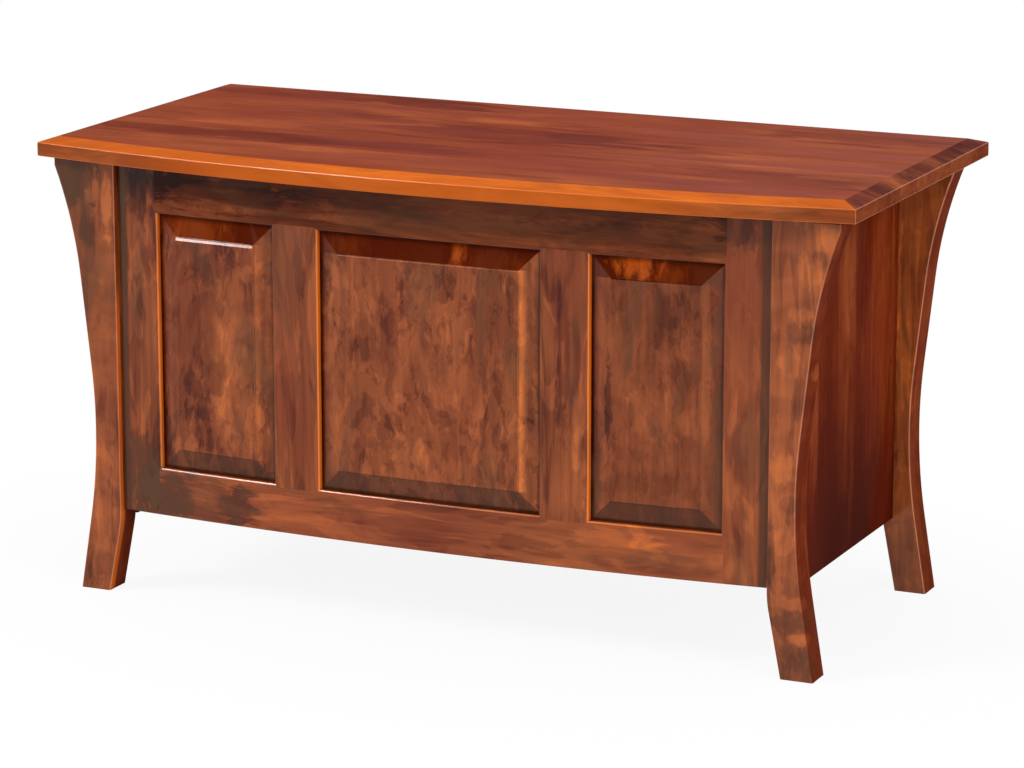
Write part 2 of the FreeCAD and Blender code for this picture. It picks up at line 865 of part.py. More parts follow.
def hinge_leaf(x, upward, own):
    """One hinge leaf: a plate with the knuckles that it owns, rolled round the pin."""
    x0 = x - hinge_length / 2
    pitch = hinge_length / hinge_knuckles
    gap = hinge_leaf_gap
    if upward:
        z0 = hinge_z + gap
    else:
        z0 = hinge_z - gap - hinge_leaf_thickness
    z1 = z0 + hinge_leaf_thickness
    y0 = hinge_y - hinge_barrel_radius - hinge_leaf_width
    clear = hinge_barrel_radius + hinge_clearance
    leaf = block(x0, x0 + hinge_length, y0, hinge_y - clear, z0, z1)
    for k in own:
        a = x0 + k * pitch + (hinge_knuckle_gap / 2 if k > 0 else 0)
        b = x0 + (k + 1) * pitch - (hinge_knuckle_gap / 2 if k < hinge_knuckles - 1 else 0)
        tongue = block(a, b, hinge_y - clear - cut_overshoot, hinge_y, z0, z1)
        roll = Part.makeCylinder(hinge_barrel_radius, b - a, vec(a, hinge_y, hinge_z), vec(1, 0, 0))
        leaf = leaf.fuse([tongue, roll])
    radius = hinge_pin_radius + hinge_pin_slack
    start = vec(x0 - cut_overshoot, hinge_y, hinge_z)
    bore = Part.makeCylinder(radius, hinge_length + 2 * cut_overshoot, start, vec(1, 0, 0))
    return leaf.cut(bore).removeSplitter()


def hinge_pin(x):
    """The pin, with a small turned head against the outer knuckle at each end."""
    start = vec(x - hinge_length / 2, hinge_y, hinge_z)
    end = vec(x + hinge_length / 2, hinge_y, hinge_z)
    pin = Part.makeCylinder(hinge_pin_radius, hinge_length, start, vec(1, 0, 0))
    left = Part.makeCone(hinge_pin_head, hinge_pin_tip, hinge_pin_head_length, start, vec(-1, 0, 0))
    right = Part.makeCone(hinge_pin_head, hinge_pin_tip, hinge_pin_head_length, end, vec(1, 0, 0))
    return pin.fuse([left, right])


def make_hinges():
    case_knuckles = range(0, hinge_knuckles, 2)
    lid_knuckles = range(1, hinge_knuckles, 2)
    case_holes = case_hinge_screws(screw_hole)
    lid_holes = lid_hinge_screws(screw_hole)
    for i, x in enumerate(hinge_places()):
        case_leaf = hinge_leaf(x, False, case_knuckles)
        lid_leaf = hinge_leaf(x, True, lid_knuckles)
        write("hinge_%d_case_leaf" % (i + 1), cut_all(case_leaf, holes_near(case_leaf, case_holes)))
        write("hinge_%d_lid_leaf" % (i + 1), cut_all(lid_leaf, holes_near(lid_leaf, lid_holes)))
        write("hinge_%d_pin" % (i + 1), hinge_pin(x))
    write("hinge_case_screws", *case_hinge_screws(screw))
    write("hinge_lid_screws", *lid_hinge_screws(screw))


# ---------------------------------------------------------------- lid stays

# The arm turns on a rivet under the lid, and its slot slides over a pin on the case's side. The
# rivet and the pin are the same distance from the hinge line, so the arm turns half as far as the lid.
pivot_angle = math.asin((stay_pivot_drop + lid_gap / 2) / stay_reach)
stay_pivot = (hinge_y - stay_reach * math.cos(pivot_angle), hinge_z - stay_reach * math.sin(pivot_angle))
pin_angle = math.radians(stay_pin_angle)
stay_pin = (hinge_y - stay_reach * math.cos(pin_angle), hinge_z - stay_reach * math.sin(pin_angle))
stay_arm_outer = side_inner - stay_plate_thickness - stay_arm_clearance
stay_arm_inner = stay_arm_outer - stay_arm_thickness
stay_ear_outer = stay_arm_inner - stay_ear_clearance
stay_bracket_middle = stay_ear_outer - stay_bracket_width / 2


def stay_distance(lid_angle):
    """How far the pin is from the rivet when the lid is open by that angle."""
    return 2 * stay_reach * math.sin((pin_angle - pivot_angle + math.radians(lid_angle)) / 2)


def stadium(x0, x1, near_end, far_end, half_width, start, toward):
    """A flat bar with round ends between two distances along a line in the plane of X."""
    run = vec(0, toward[0] - start[0], toward[1] - start[1])
    run.normalize()
    across = run.cross(vec(1, 0, 0))
    origin = vec(x0, start[0], start[1])
    a = origin + run * near_end
    b = origin + run * far_end
    edges = [
        Part.makeLine(a + across * half_width, b + across * half_width),
        Part.Arc(b + across * half_width, b + run * half_width, b - across * half_width).toShape(),
        Part.makeLine(b - across * half_width, a - across * half_width),
        Part.Arc(a - across * half_width, a - run * half_width, a + across * half_width).toShape(),
    ]
    return Part.Face(Part.Wire(edges)).extrude(vec(x1 - x0, 0, 0))


def stay_arm():
    """The right-hand arm, at rest."""
    near_pin = stay_distance(0)
    far_pin = stay_distance(lid_travel)
    slot = stay_pin_radius + stay_slot_slack
    bore = stay_rivet_radius + stay_rivet_slack
    x0 = stay_arm_inner - cut_overshoot
    x1 = stay_arm_outer + cut_overshoot
    bar = stadium(stay_arm_inner, stay_arm_outer, 0, far_pin, stay_arm_width / 2, stay_pivot, stay_pin)
    way = stadium(x0, x1, near_pin, far_pin, slot, stay_pivot, stay_pin)
    hole = Part.makeCylinder(bore, x1 - x0, vec(x0, *stay_pivot), vec(1, 0, 0))
    return bar.cut([way, hole])


def stay_bracket():
    """The right-hand bracket under the lid: a plate with a hanging ear."""
    y, z = stay_pivot
    half = stay_bracket_length / 2
    ear = stay_arm_width / 2
    x0 = stay_ear_outer - stay_bracket_width
    x1 = stay_ear_outer - stay_ear_thickness
    axis = vec(1, 0, 0)
    bore = stay_rivet_radius + stay_rivet_slack
    through = stay_ear_thickness + 2 * cut_overshoot
    plate = block(x0, stay_ear_outer, y - half, y + half, lid_underside - stay_plate_thickness, lid_underside)
    tab = block(x1, stay_ear_outer, y - ear, y + ear, z, lid_underside)
    round_end = Part.makeCylinder(ear, stay_ear_thickness, vec(x1, y, z), axis)
    hole = Part.makeCylinder(bore, through, vec(x1 - cut_overshoot, y, z), axis)
    bracket = plate.fuse([tab, round_end]).removeSplitter().cut(hole)
    return cut_all(bracket, holes_near(bracket, stay_lid_screws(screw_hole)))


def stay_rivet():
    """The rivet that the right-hand arm turns on."""
    y, z = stay_pivot
    axis = vec(1, 0, 0)
    low = stay_ear_outer - stay_ear_thickness
    high = stay_arm_outer + stay_foot_gap
    shank = Part.makeCylinder(stay_rivet_radius, high - low, vec(low, y, z), axis)
    head = Part.makeCone(stay_rivet_head, stay_rivet_crown, stay_rivet_head_length, vec(low, y, z), -axis)
    foot = Part.makeCylinder(stay_rivet_foot, stay_rivet_foot_length, vec(high, y, z), axis)
    return shank.fuse([head, foot])


def stay_plate():
    """The right-hand plate on the case's side, with the pin riveted into it."""
    y, z = stay_pin
    half_length = stay_plate_length / 2
    half_width = stay_plate_width / 2
    low = side_inner - stay_plate_thickness
    plate = block(low, side_inner, y - half_length, y + half_length, z - half_width, z + half_width)
    plate = rounded(plate, stay_plate_corner, lambda e: e.BoundBox.XLength > short_edge)
    tip = stay_arm_inner - stay_knob_clearance - stay_knob_bore_depth
    pin = Part.makeCylinder(stay_pin_radius, low - tip, vec(tip, y, z), vec(1, 0, 0))
    whole = plate.fuse(pin)
    return cut_all(whole, holes_near(whole, stay_case_screws(screw_hole)))


def stay_knob():
    """The knurled nut that keeps the right-hand arm on its pin."""
    y, z = stay_pin
    face = vec(stay_arm_inner - stay_knob_clearance, y, z)
    body = Part.makeCylinder(stay_knob_radius, stay_knob_length, face, vec(-1, 0, 0))
    body = rounded(body, stay_knob_arris, lambda e: e.BoundBox.XLength < same_place)
    bore = stay_pin_radius + stay_knob_slack
    return body.cut(Part.makeCylinder(bore, stay_knob_bore_depth, face, vec(-1, 0, 0)))


def stay_case_screws(maker):
    made = []
    y, z = stay_pin
    reach = stay_plate_length / 2 - stay_screw_margin
    face = side_inner - stay_plate_thickness + screw_head_sink
    for side in (-1, 1):
        for offset in (-reach, reach):
            made.append(maker(vec(side * face, y + offset, z), vec(side, 0, 0), stay_screw_length))
    return made


def make_stays():
    pieces = {
        "stay_arm": stay_arm(),
        "stay_bracket": stay_bracket(),
        "stay_rivet": stay_rivet(),
        "stay_plate": stay_plate(),
        "stay_knob": stay_knob(),
    }
    for name, shape in pieces.items():
        write(name + "_right", shape)
        write(name + "_left", mirrored(shape))
    write("stay_lid_screws", *stay_lid_screws(screw))
    write("stay_case_screws", *stay_case_screws(screw))


os.makedirs("parts", exist_ok=True)
make_legs()
make_dowels()
make_front()
make_case()
make_ledgers()
make_hinges()
make_stays()
make_lid()
print("hinge line", round(hinge_y, 3), round(hinge_z, 3))
print("stay rivet", round(stay_pivot[0], 3), round(stay_pivot[1], 3), "in x", round(stay_arm_inner, 3))
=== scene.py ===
"""Dresses the blanket chest: stained cherry in a satin varnish, brass and steel fittings, a pale studio."""

import math

import bmesh
import bpy
from mathutils import Matrix, Vector


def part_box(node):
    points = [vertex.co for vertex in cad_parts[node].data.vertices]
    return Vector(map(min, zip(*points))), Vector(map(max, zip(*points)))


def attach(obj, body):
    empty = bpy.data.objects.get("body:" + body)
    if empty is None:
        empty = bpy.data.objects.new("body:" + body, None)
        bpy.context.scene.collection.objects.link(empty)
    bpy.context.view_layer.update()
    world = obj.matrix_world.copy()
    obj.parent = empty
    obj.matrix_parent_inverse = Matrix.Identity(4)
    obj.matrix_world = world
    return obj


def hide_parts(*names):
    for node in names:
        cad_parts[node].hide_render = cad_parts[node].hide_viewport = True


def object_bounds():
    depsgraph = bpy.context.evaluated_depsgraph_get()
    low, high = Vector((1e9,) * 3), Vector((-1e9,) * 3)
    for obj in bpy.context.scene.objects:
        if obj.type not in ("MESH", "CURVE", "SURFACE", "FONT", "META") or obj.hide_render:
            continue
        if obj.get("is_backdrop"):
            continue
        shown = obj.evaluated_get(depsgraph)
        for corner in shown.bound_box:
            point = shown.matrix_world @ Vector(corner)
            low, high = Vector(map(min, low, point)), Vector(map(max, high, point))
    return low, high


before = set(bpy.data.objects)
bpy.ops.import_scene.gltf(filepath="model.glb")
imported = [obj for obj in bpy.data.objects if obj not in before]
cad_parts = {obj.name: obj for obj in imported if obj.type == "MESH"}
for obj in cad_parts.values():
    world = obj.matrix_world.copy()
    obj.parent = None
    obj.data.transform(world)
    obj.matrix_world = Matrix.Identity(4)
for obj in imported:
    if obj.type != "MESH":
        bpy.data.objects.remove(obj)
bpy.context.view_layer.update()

# ---------------------------------------------------------------- legs
# Four legs, each sawn to its curve from one thick board of cherry, sanded and stained like the rest.
# Their curl figure runs across the grain, and the arrises that face the light get a painted orange
# highlight.

ALONG_X = "x"
ALONG_Y = "y"
ALONG_Z = "z"


def paint(red, green, blue):
    """A colour from a paint chart's 0 to 255, as light."""
    return tuple(pow((c / 255 + 0.055) / 1.055, 2.4) for c in (red, green, blue)) + (1.0,)


class Wire:
    """A socket of a finish. Sums on it add Math nodes, and node() adds any other node."""

    def __init__(self, tree, socket=None):
        self.tree = tree
        self.socket = socket

    def node(self, kind, settings, sockets, out=0):
        made = self.tree.nodes.new("ShaderNode" + kind)
        for name, value in settings.items():
            if name == "stops":
                ramp = made.color_ramp
                while len(ramp.elements) < len(value):
                    ramp.elements.new(0.5)
                for element, (place, colour) in zip(ramp.elements, value):
                    element.position = place
                    element.color = colour
            else:
                setattr(made, name, value)
        for name, value in sockets.items():
            if isinstance(value, Wire):
                self.tree.links.new(value.socket, made.inputs[name])
            else:
                made.inputs[name].default_value = value
        return Wire(self.tree, made.outputs[out])

    def math(self, operation, *values):
        return self.node("Math", {"operation": operation}, dict(enumerate(values)))

    def vector(self, operation, *values, out=0):
        return self.node("VectorMath", {"operation": operation}, dict(enumerate(values)), out)

    def __add__(self, other):
        return self.math("ADD", self, other)

    def __sub__(self, other):
        return self.math("SUBTRACT", self, other)

    def __rsub__(self, other):
        return self.math("SUBTRACT", other, self)

    def __mul__(self, other):
        return self.math("MULTIPLY", self, other)

    __radd__ = __add__
    __rmul__ = __mul__

    def size(self):
        return self.math("ABSOLUTE", self)

    def larger(self, other):
        return self.math("MAXIMUM", self, other)

    def rise(self, low, high):
        """A soft step from 0 at low to 1 at high."""
        return self.node("MapRange", {"interpolation_type": "SMOOTHSTEP"}, {0: self, 1: low, 2: high})

    def ramp(self, stops):
        return self.node("ValToRGB", {"stops": stops}, {0: self})

    def tint(self, colour, share):
        """This colour with another laid over it."""
        return self.node("Mix", {"data_type": "RGBA"}, {0: share, 6: self, 7: colour}, 2)


def noise(place, scale, detail, roughness=0.5, distortion=0.0, out=0):
    """Noise of about that many lumps in a metre, in each direction of the grain."""
    if not isinstance(scale, tuple):
        scale = (scale, scale, scale)
    sockets = {"Vector": place.vector("MULTIPLY", place, scale), "Scale": 1.0, "Detail": detail}
    sockets.update({"Roughness": roughness, "Distortion": distortion})
    return place.node("TexNoise", {}, sockets, out)


class Timber:
    """One piece of timber: where its grain lies, and the masks that its figure is made of."""

    heart_beside, heart_behind = 0.03, 0.16  # how far off the piece the log's heart ran
    lean = 0.04  # how much the heart leans along the piece
    next_across, next_along = 0.731, 1.917  # how far apart the pieces were cut, across and along the log
    next_rings = 3.1  # how far apart their rings are
    rings_per_metre = 70.0

    def __init__(self, name, along, number):
        self.material = bpy.data.materials.new(name)
        self.material.use_nodes = True
        self.tree = self.material.node_tree
        self.shader = self.tree.nodes["Principled BSDF"]
        start = Wire(self.tree)
        self.object_place = start.node("TexCoord", {}, {}, "Object")
        self.x, self.y, self.z = self.split(self.object_place)
        self.nx, self.ny, self.nz = self.split(start.node("TexCoord", {}, {}, "Normal"))
        order = {
            ALONG_X: (self.z, self.y, self.x),
            ALONG_Y: (self.x, self.z, self.y),
            ALONG_Z: (self.x, self.y, self.z),
        }
        across, through, grain = order[along]
        across = across + number * self.next_across
        grain = grain + number * self.next_along
        place = start.node("CombineXYZ", {}, {0: across, 1: through, 2: grain})
        drift = noise(place, (7.0, 7.0, 1.6), 2.0, out=1)
        drift = place.vector("SUBTRACT", drift, (0.5, 0.5, 0.5))
        drift = place.vector("MULTIPLY", drift, (0.05, 0.05, 0.12))
        self.place = place.vector("ADD", place, drift)
        ring_u, ring_v, ring_w = self.split(self.place)
        ring_u = ring_u - number * self.next_across - self.heart_beside + ring_w * self.lean
        ring_v = ring_v - self.heart_behind
        radius = ring_u * ring_u + ring_v * ring_v
        radius = radius.math("SQRT", radius)
        rings = {"W": radius + number * self.next_rings, "Scale": self.rings_per_metre}
        rings.update({"Detail": 4.0, "Roughness": 0.62})
        self.rings = radius.node("TexNoise", {"noise_dimensions": "1D"}, rings)
        self.clouds = noise(self.place, (13.0, 13.0, 4.5), 2.0, 0.5, 0.6)
        self.streaks = noise(self.place, (150.0, 150.0, 5.0), 2.0, 0.6)
        self.pores = noise(self.place, (900.0, 900.0, 45.0), 1.0, 0.5)
        end = {ALONG_X: self.nx, ALONG_Y: self.ny, ALONG_Z: self.nz}[along]
        self.end_grain = end.size().rise(0.1, 0.3)
        level = self.nx.size().larger(self.ny.size()).larger(self.nz.size())
        self.arris = 1.0 - level.rise(0.8, 0.97)
        self.polished = None

    def split(self, wire):
        made = self.tree.nodes.new("ShaderNodeSeparateXYZ")
        self.tree.links.new(wire.socket, made.inputs[0])
        return [Wire(self.tree, socket) for socket in made.outputs]

    def varnish(self, colour, gloss, relief, sheen, glint, veil=None):
        """Closes the finish: colour, roughness and relief, under a satin varnish that rubbing left thin on
        top.
        """
        grain_depth, thinnest = 0.00012, 0.03
        height = relief * grain_depth
        bump = height.node("Bump", {}, {"Strength": 1.0, "Distance": 1.0, "Height": height}, "Normal")
        upright = self.ny.size().rise(0.5, 0.9) * (1.0 - self.nz.rise(0.04, 0.2))
        coat = thinnest + upright * sheen + self.arris * glint
        if veil is not None:
            coat = coat + veil(self)
        links = {"Base Color": colour, "Roughness": gloss, "Normal": bump, "Coat Weight": coat}
        for name, wire in links.items():
            self.tree.links.new(wire.socket, self.shader.inputs[name])
        self.shader.inputs["Specular IOR Level"].default_value = 0.0
        self.shader.inputs["Coat Roughness"].default_value = 0.15
        if self.polished is not None:
            self.polish(colour)
        return self.material

    def polish(self, colour):
        """Mixes in a polished finish, where the polished mask says."""
        settings = {"Base Color": colour, "Roughness": 0.2, "Specular IOR Level": 0.15}
        shine = colour.node("BsdfPrincipled", {}, settings)
        satin = Wire(self.tree, self.shader.outputs[0])
        mixed = colour.node("MixShader", {}, {0: self.polished, 1: satin, 2: shine})
        self.tree.links.new(mixed.socket, self.tree.nodes["Material Output"].inputs["Surface"])


def dress(names, material):
    """Gives a finish to the pieces of that name."""
    for name in names:
        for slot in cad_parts[name].material_slots:
            slot.material = material


CHERRY = [
    (0.0, paint(44, 12, 4)),
    (0.2, paint(86, 35, 12)),
    (0.4, paint(125, 62, 30)),
    (0.6, paint(155, 82, 42)),
    (0.8, paint(191, 102, 47)),
    (1.0, paint(232, 121, 38)),
]
DEEP_RED = paint(108, 34, 22)
FOX_RED = paint(128, 40, 10)
UMBER = paint(84, 52, 32)
ORANGE = paint(206, 96, 14)


def ragged(timber, scale, low, high):
    """Patches with ragged edges, where the grain turns and takes the stain another way."""
    return noise(timber.place, scale, 2.0, 0.6, 0.7).rise(low, high)


def blotches(timber, spots, scale=(60.0, 60.0, 28.0), edge=(0.7, 1.15)):
    """Uneven spots of darker or lighter colour, each a middle, a reach from it, and how much it changes;
    most are stain, and a few are painted shadow.
    """
    uneven = (noise(timber.place, scale, 4.0, 0.62, 0.6) - 0.5) * 2.8
    change = 0.0
    for middle, reach, by in spots:
        away = timber.object_place.vector("SUBTRACT", timber.object_place, middle)
        away = away.vector("LENGTH", away.vector("DIVIDE", away, reach), out="Value")
        change = change + (1.0 - (away + uneven).rise(*edge)) * by
    return change


deep, shallow = 0.05, 0.02  # how far a spot goes into the wood


def spots_at(y, depth, rows):
    """Spots on an upright face near y: each row's x and z, its reach sideways and up, and its change."""
    return [((x, y, z), (wide, depth, tall), by) for x, z, wide, tall, by in rows]


def cherry(
    name, along, number, middle=0.4, figure=None, *, bands=0.4, clouds=0.6, fine=0.3, glow=0.3, soak=0.25,
    red=0.35, umber=0.4, sheen=0.35, glint=0.8, lit_arrises=None, veil=None, washes=(),
):
    """Stained cherry, about as light as middle.

    bands, clouds and fine say how much the rings, the clouds and the streaks show; glow, how bright the
    painted highlight on the arrises that face the light is; soak, how dark end grain is; red and umber, how
    strong those patches are; sheen and glint, how glossy upright faces and arrises are. lit_arrises tells
    which arrises get that painted highlight, and the others get a little painted shade; veil adds varnish,
    and washes
    are colours laid over the rest: stains, and in some pieces painted light.
    """
    timber = Timber(name, along, number)
    tone = middle + (timber.rings - 0.5) * bands + (timber.clouds - 0.5) * clouds
    tone = tone + (timber.streaks - 0.5) * fine - timber.pores.rise(0.58, 0.75) * 0.05
    if figure is not None:
        tone = tone + figure(timber)
    # Painted highlight: arrises that face the light are made brighter by glow, and the others a little
    # darker, as painted shade.
    arris_light = 1.0 if lit_arrises is None else lit_arrises(timber)
    tone = tone + timber.arris * (arris_light * (glow + 0.1) - 0.1) - timber.end_grain * soak
    colour = tone.ramp(CHERRY)
    plain = 1.0 - timber.arris
    redness = noise(timber.place, (9.0, 9.0, 3.0), 1.0, 0.5, 0.4).rise(0.42, 0.7)
    colour = colour.tint(DEEP_RED, redness * plain * red)
    colour = colour.tint(UMBER, ragged(timber, (16.0, 16.0, 4.5), 0.52, 0.64) * plain * umber)
    for wash, share in washes:
        colour = colour.tint(wash, share(timber))
    gloss = 0.38 + (timber.streaks - 0.5) * 0.2 + timber.end_grain * 0.12
    relief = timber.streaks * 0.5 + timber.rings * 0.3 - timber.pores.rise(0.55, 0.7) * 0.5
    return timber.varnish(colour, gloss, relief, sheen, glint, veil)


leg_tones = {"front_leg_left": 0.43, "front_leg_right": 0.55, "back_leg_left": 0.5, "back_leg_right": 0.62}
leg_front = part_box("front_leg_left")[0].y
leg_face, leg_side, leg_back = -0.24, -0.21, 0.24
leg_spots = {
    "front_leg_left": spots_at(leg_face, deep, (
        (-0.555, 0.600, 0.045, 0.040, -0.24),
        (-0.535, 0.530, 0.012, 0.040, -0.18),
        (-0.503, 0.565, 0.009, 0.050, 0.22),
        (-0.530, 0.240, 0.030, 0.200, 0.07),
        (-0.535, 0.140, 0.040, 0.110, 0.08),
        (-0.545, 0.030, 0.030, 0.030, -0.06),
    )),
    "front_leg_right": spots_at(leg_face, shallow, (
        (0.572, 0.600, 0.016, 0.022, 0.12),
        (0.545, 0.555, 0.022, 0.020, 0.10),
        (0.535, 0.500, 0.016, 0.012, 0.14),
        (0.540, 0.474, 0.030, 0.016, -0.12),
        (0.522, 0.430, 0.020, 0.020, 0.12),
        (0.533, 0.390, 0.012, 0.030, -0.08),
        (0.510, 0.290, 0.016, 0.026, 0.12),
        (0.526, 0.240, 0.016, 0.012, -0.10),
        (0.515, 0.190, 0.020, 0.020, 0.12),
        (0.495, 0.170, 0.008, 0.045, -0.16),
        (0.530, 0.106, 0.026, 0.010, 0.20),
        (0.530, 0.080, 0.034, 0.016, -0.12),
        (0.540, 0.058, 0.016, 0.010, 0.18),
        (0.530, 0.018, 0.060, 0.036, -0.11),
    )) + spots_at(leg_face, deep, (
        (0.540, 0.070, 0.060, 0.070, -0.07),
        (0.512, 0.350, 0.012, 0.110, 0.08),
        (0.560, 0.575, 0.014, 0.014, -0.10),
    )) + spots_at(leg_side, shallow, ((0.560, 0.415, 0.030, 0.012, 0.34),)),
    "back_leg_left": spots_at(leg_back, deep, ((-0.53, 0.300, 0.02, 0.100, 0.08),)),
    "back_leg_right": spots_at(leg_back, deep, (
        (0.508, 0.450, 0.006, 0.140, 0.22),
        (0.535, 0.500, 0.016, 0.030, 0.10),
        (0.520, 0.270, 0.012, 0.120, 0.12),
        (0.530, 0.040, 0.060, 0.070, -0.06),
    )),
}


def lit_leg_lip(timber):
    """The left front leg's inner side, at its front edge, which stands proud of the case beside it; bright
    orange is painted there as light from the side.
    """
    inner = timber.nx.rise(0.6, 0.9) * (1.0 - timber.x.rise(-0.1, 0.0))
    behind = (timber.y - leg_front).rise(0.0082, 0.0152)
    return inner * (1.0 - behind) * (1.0 - timber.z.rise(0.40, 0.46) * 0.8)


def leg_figure(name):
    """Long calm grain with soft patches across it, darker sawn sides, and a painted highlight on the lip by
    the case.
    """

    def figure(timber):
        edge_on = timber.ny.size()
        timber.arris = edge_on.rise(0.15, 0.35) * (1.0 - edge_on.rise(0.92, 0.99))
        # The right front leg's arrises, with their painted highlight and their gloss, fade out towards the
        # foot and the top.
        if name == "front_leg_right":
            arris_light = timber.z.rise(0.10, 0.26) * (1.0 - timber.z.rise(0.50, 0.60) * 0.7)
            timber.arris = timber.arris * arris_light
        across = noise(timber.place, (12.0, 12.0, 30.0), 2.0, 0.5, 0.5).rise(0.36, 0.66)
        along = ragged(timber, (56.0, 56.0, 8.0), 0.52, 0.6)
        sawn = timber.nx.size().rise(0.6, 0.9)
        tone = (across - 0.5) * 0.1 - along * 0.12 - sawn * 0.30
        # A painted highlight on the lip by the case.
        return tone + lit_leg_lip(timber) * 0.6 + blotches(timber, leg_spots[name])

    return figure


def leg_greys(name):
    """Its dark spots are greyer, too."""
    return lambda timber: (blotches(timber, leg_spots[name]) * -2.0).larger(0.0)


def outer_arris(timber):
    """The arrises that get the painted highlight: all but those of the right legs that face the case."""
    return 1.0 - (1.0 - timber.nx.rise(-0.3, 0.0)) * timber.x.rise(0.0, 0.1)


for number, (name, middle) in enumerate(leg_tones.items(), 1):
    washes = [
        (FOX_RED, lambda timber: timber.nx.size().rise(0.6, 0.9) * 0.4),
        (UMBER, leg_greys(name)),
        # Painted highlight: bright orange on the left front leg's lip.
        (ORANGE, lambda timber: lit_leg_lip(timber) * 0.6),
    ]
    wood = cherry(
        name + "_cherry", ALONG_Z, number, middle, leg_figure(name), bands=0.25, clouds=0.35, fine=0.25,
        glow=0.25, soak=0.1, red=0.15, umber=0.5, sheen=0.4, glint=1.2, lit_arrises=outer_arris, washes=washes,
    )
    dress([name], wood)

# ---------------------------------------------------------------- front frame
# Two stiles, two rails and two mullions of cherry, bowed in plan. Rails and mullions are coped over the
# rounded edges round each opening, and stub tenons hold them in the panels' groove.

frame_pieces = {
    "front_stile_left": (ALONG_Z, 0.37),
    "front_stile_right": (ALONG_Z, 0.47),
    "front_mullion_left": (ALONG_Z, 0.42),
    "front_mullion_right": (ALONG_Z, 0.38),
    "front_bottom_rail": (ALONG_X, 0.50),
    "front_top_rail": (ALONG_X, 0.33),
}
case_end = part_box("front_stile_right")[1].x
opening_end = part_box("front_stile_right")[0].x
opening_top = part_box("front_top_rail")[0].z
end_face, bowed_face = -0.24, -0.25
# The rows at the tops of the stiles and the long row along the frame's top are painted shadow under the
# lid; the others are darker and lighter stain.
frame_spots = spots_at(end_face, deep, (
    (-0.46, 0.610, 0.060, 0.060, -0.18),
    (0.46, 0.615, 0.060, 0.030, -0.18),
    (-0.46, 0.18, 0.036, 0.064, -0.16),
    (-0.415, 0.14, 0.036, 0.060, -0.16),
    (0.44, 0.150, 0.030, 0.030, 0.06),
    (-0.45, 0.500, 0.020, 0.060, 0.10),
    (-0.41, 0.400, 0.012, 0.080, -0.10),
    (0.45, 0.420, 0.016, 0.100, 0.08),
)) + spots_at(bowed_face, deep, (
    (-0.30, 0.15, 0.030, 0.028, -0.20),
    (-0.38, 0.15, 0.120, 0.040, -0.12),
    (-0.33, 0.600, 0.150, 0.030, -0.17),
    (-0.355, 0.160, 0.030, 0.016, 0.14),
    (-0.20, 0.160, 0.080, 0.020, 0.10),
    (0.27, 0.170, 0.060, 0.012, 0.14),
    (0.14, 0.150, 0.050, 0.010, -0.12),
    (-0.33, 0.575, 0.090, 0.007, 0.16),
    (-0.12, 0.575, 0.050, 0.007, 0.12),
    (0.0, 0.620, 0.600, 0.026, -0.08),
    (0.30, 0.580, 0.160, 0.020, -0.05),
    (-0.22, 0.390, 0.025, 0.050, 0.12),
    (-0.195, 0.500, 0.010, 0.040, -0.12),
    (0.20, 0.400, 0.012, 0.120, -0.10),
    (0.225, 0.260, 0.010, 0.060, 0.12),
))
olive_spots = spots_at(end_face, deep, (
    (-0.46, 0.17, 0.040, 0.060, 0.55),
)) + spots_at(bowed_face, deep, (
    (-0.30, 0.15, 0.026, 0.024, 0.3),
    (-0.38, 0.15, 0.110, 0.035, 0.35),
    (-0.415, 0.14, 0.036, 0.060, 0.45),
    (0.20, 0.600, 0.400, 0.030, 0.3),
))


def leg_corner_shade(timber):
    """The strip beside each leg, darkened as painted shade in the corner between leg and case."""
    from_leg = case_end - timber.x.size()
    return from_leg.rise(0.0013, 0.0043) * (1.0 - from_leg.rise(0.0113, 0.0173))


def lit_wall(timber):
    """The openings' left walls, where bright orange is painted as light falling from the right."""
    return timber.nx.rise(0.7, 0.9)


def olive(timber):
    """Grey-brown stain in patches, and grey-brown painted shade beside the legs."""
    return blotches(timber, olive_spots).larger(leg_corner_shade(timber) * 0.7)


def frame_figure(timber):
    """Long dark and light flames, with painted shade by the legs and on the openings' walls, and a painted
    highlight on their left walls; its spots hold painted shadow under the lid too.
    """
    dark = ragged(timber, (34.0, 34.0, 7.0), 0.53, 0.61)
    light = ragged(timber, (40.0, 40.0, 9.0), 0.54, 0.62)
    wall = 1.0 - timber.ny.size().rise(0.1, 0.3)
    top_rail = (timber.z - opening_top).rise(-0.0059, 0.0041)
    top_rail = top_rail * (1.0 - (timber.x.size() - opening_end).rise(0.0005, 0.0055))
    flames = (light * 0.14 - dark * 0.13) * (1.0 - top_rail * 0.6)
    # Painted shade beside the legs and on all the openings' walls, and a painted highlight on their left
    # walls.
    tone = flames - leg_corner_shade(timber) * 0.26 - wall * 0.25 + lit_wall(timber) * 0.7
    return tone + blotches(timber, frame_spots)


def right_and_up(timber):
    """The openings' arrises that face right, and less so those that face up: those that get the painted
    highlight.
    """
    return timber.nx.rise(0.1, 0.4).larger(timber.nz.rise(0.1, 0.4) * 0.5)


for number, (name, (along, middle)) in enumerate(frame_pieces.items(), 11):
    sheen = 0.16 if name == "front_top_rail" else 0.35
    # Painted highlight in orange on the openings' left walls; grey-brown stain, with painted shade beside
    # the legs.
    washes = [(ORANGE, lambda timber: lit_wall(timber) * 0.6), (UMBER, olive)]
    wood = cherry(
        name + "_cherry", along, number, middle, frame_figure, bands=0.3, clouds=0.5, glow=0.6, sheen=sheen,
        lit_arrises=right_and_up, washes=washes,
    )
    dress([name], wood)

# ---------------------------------------------------------------- raised panels
# Three panels of figured cherry with a raised field and mitred bevels, loose in the frame's grooves. The
# left and the centre field are eased to a narrow slope at their top edge, and polished there.


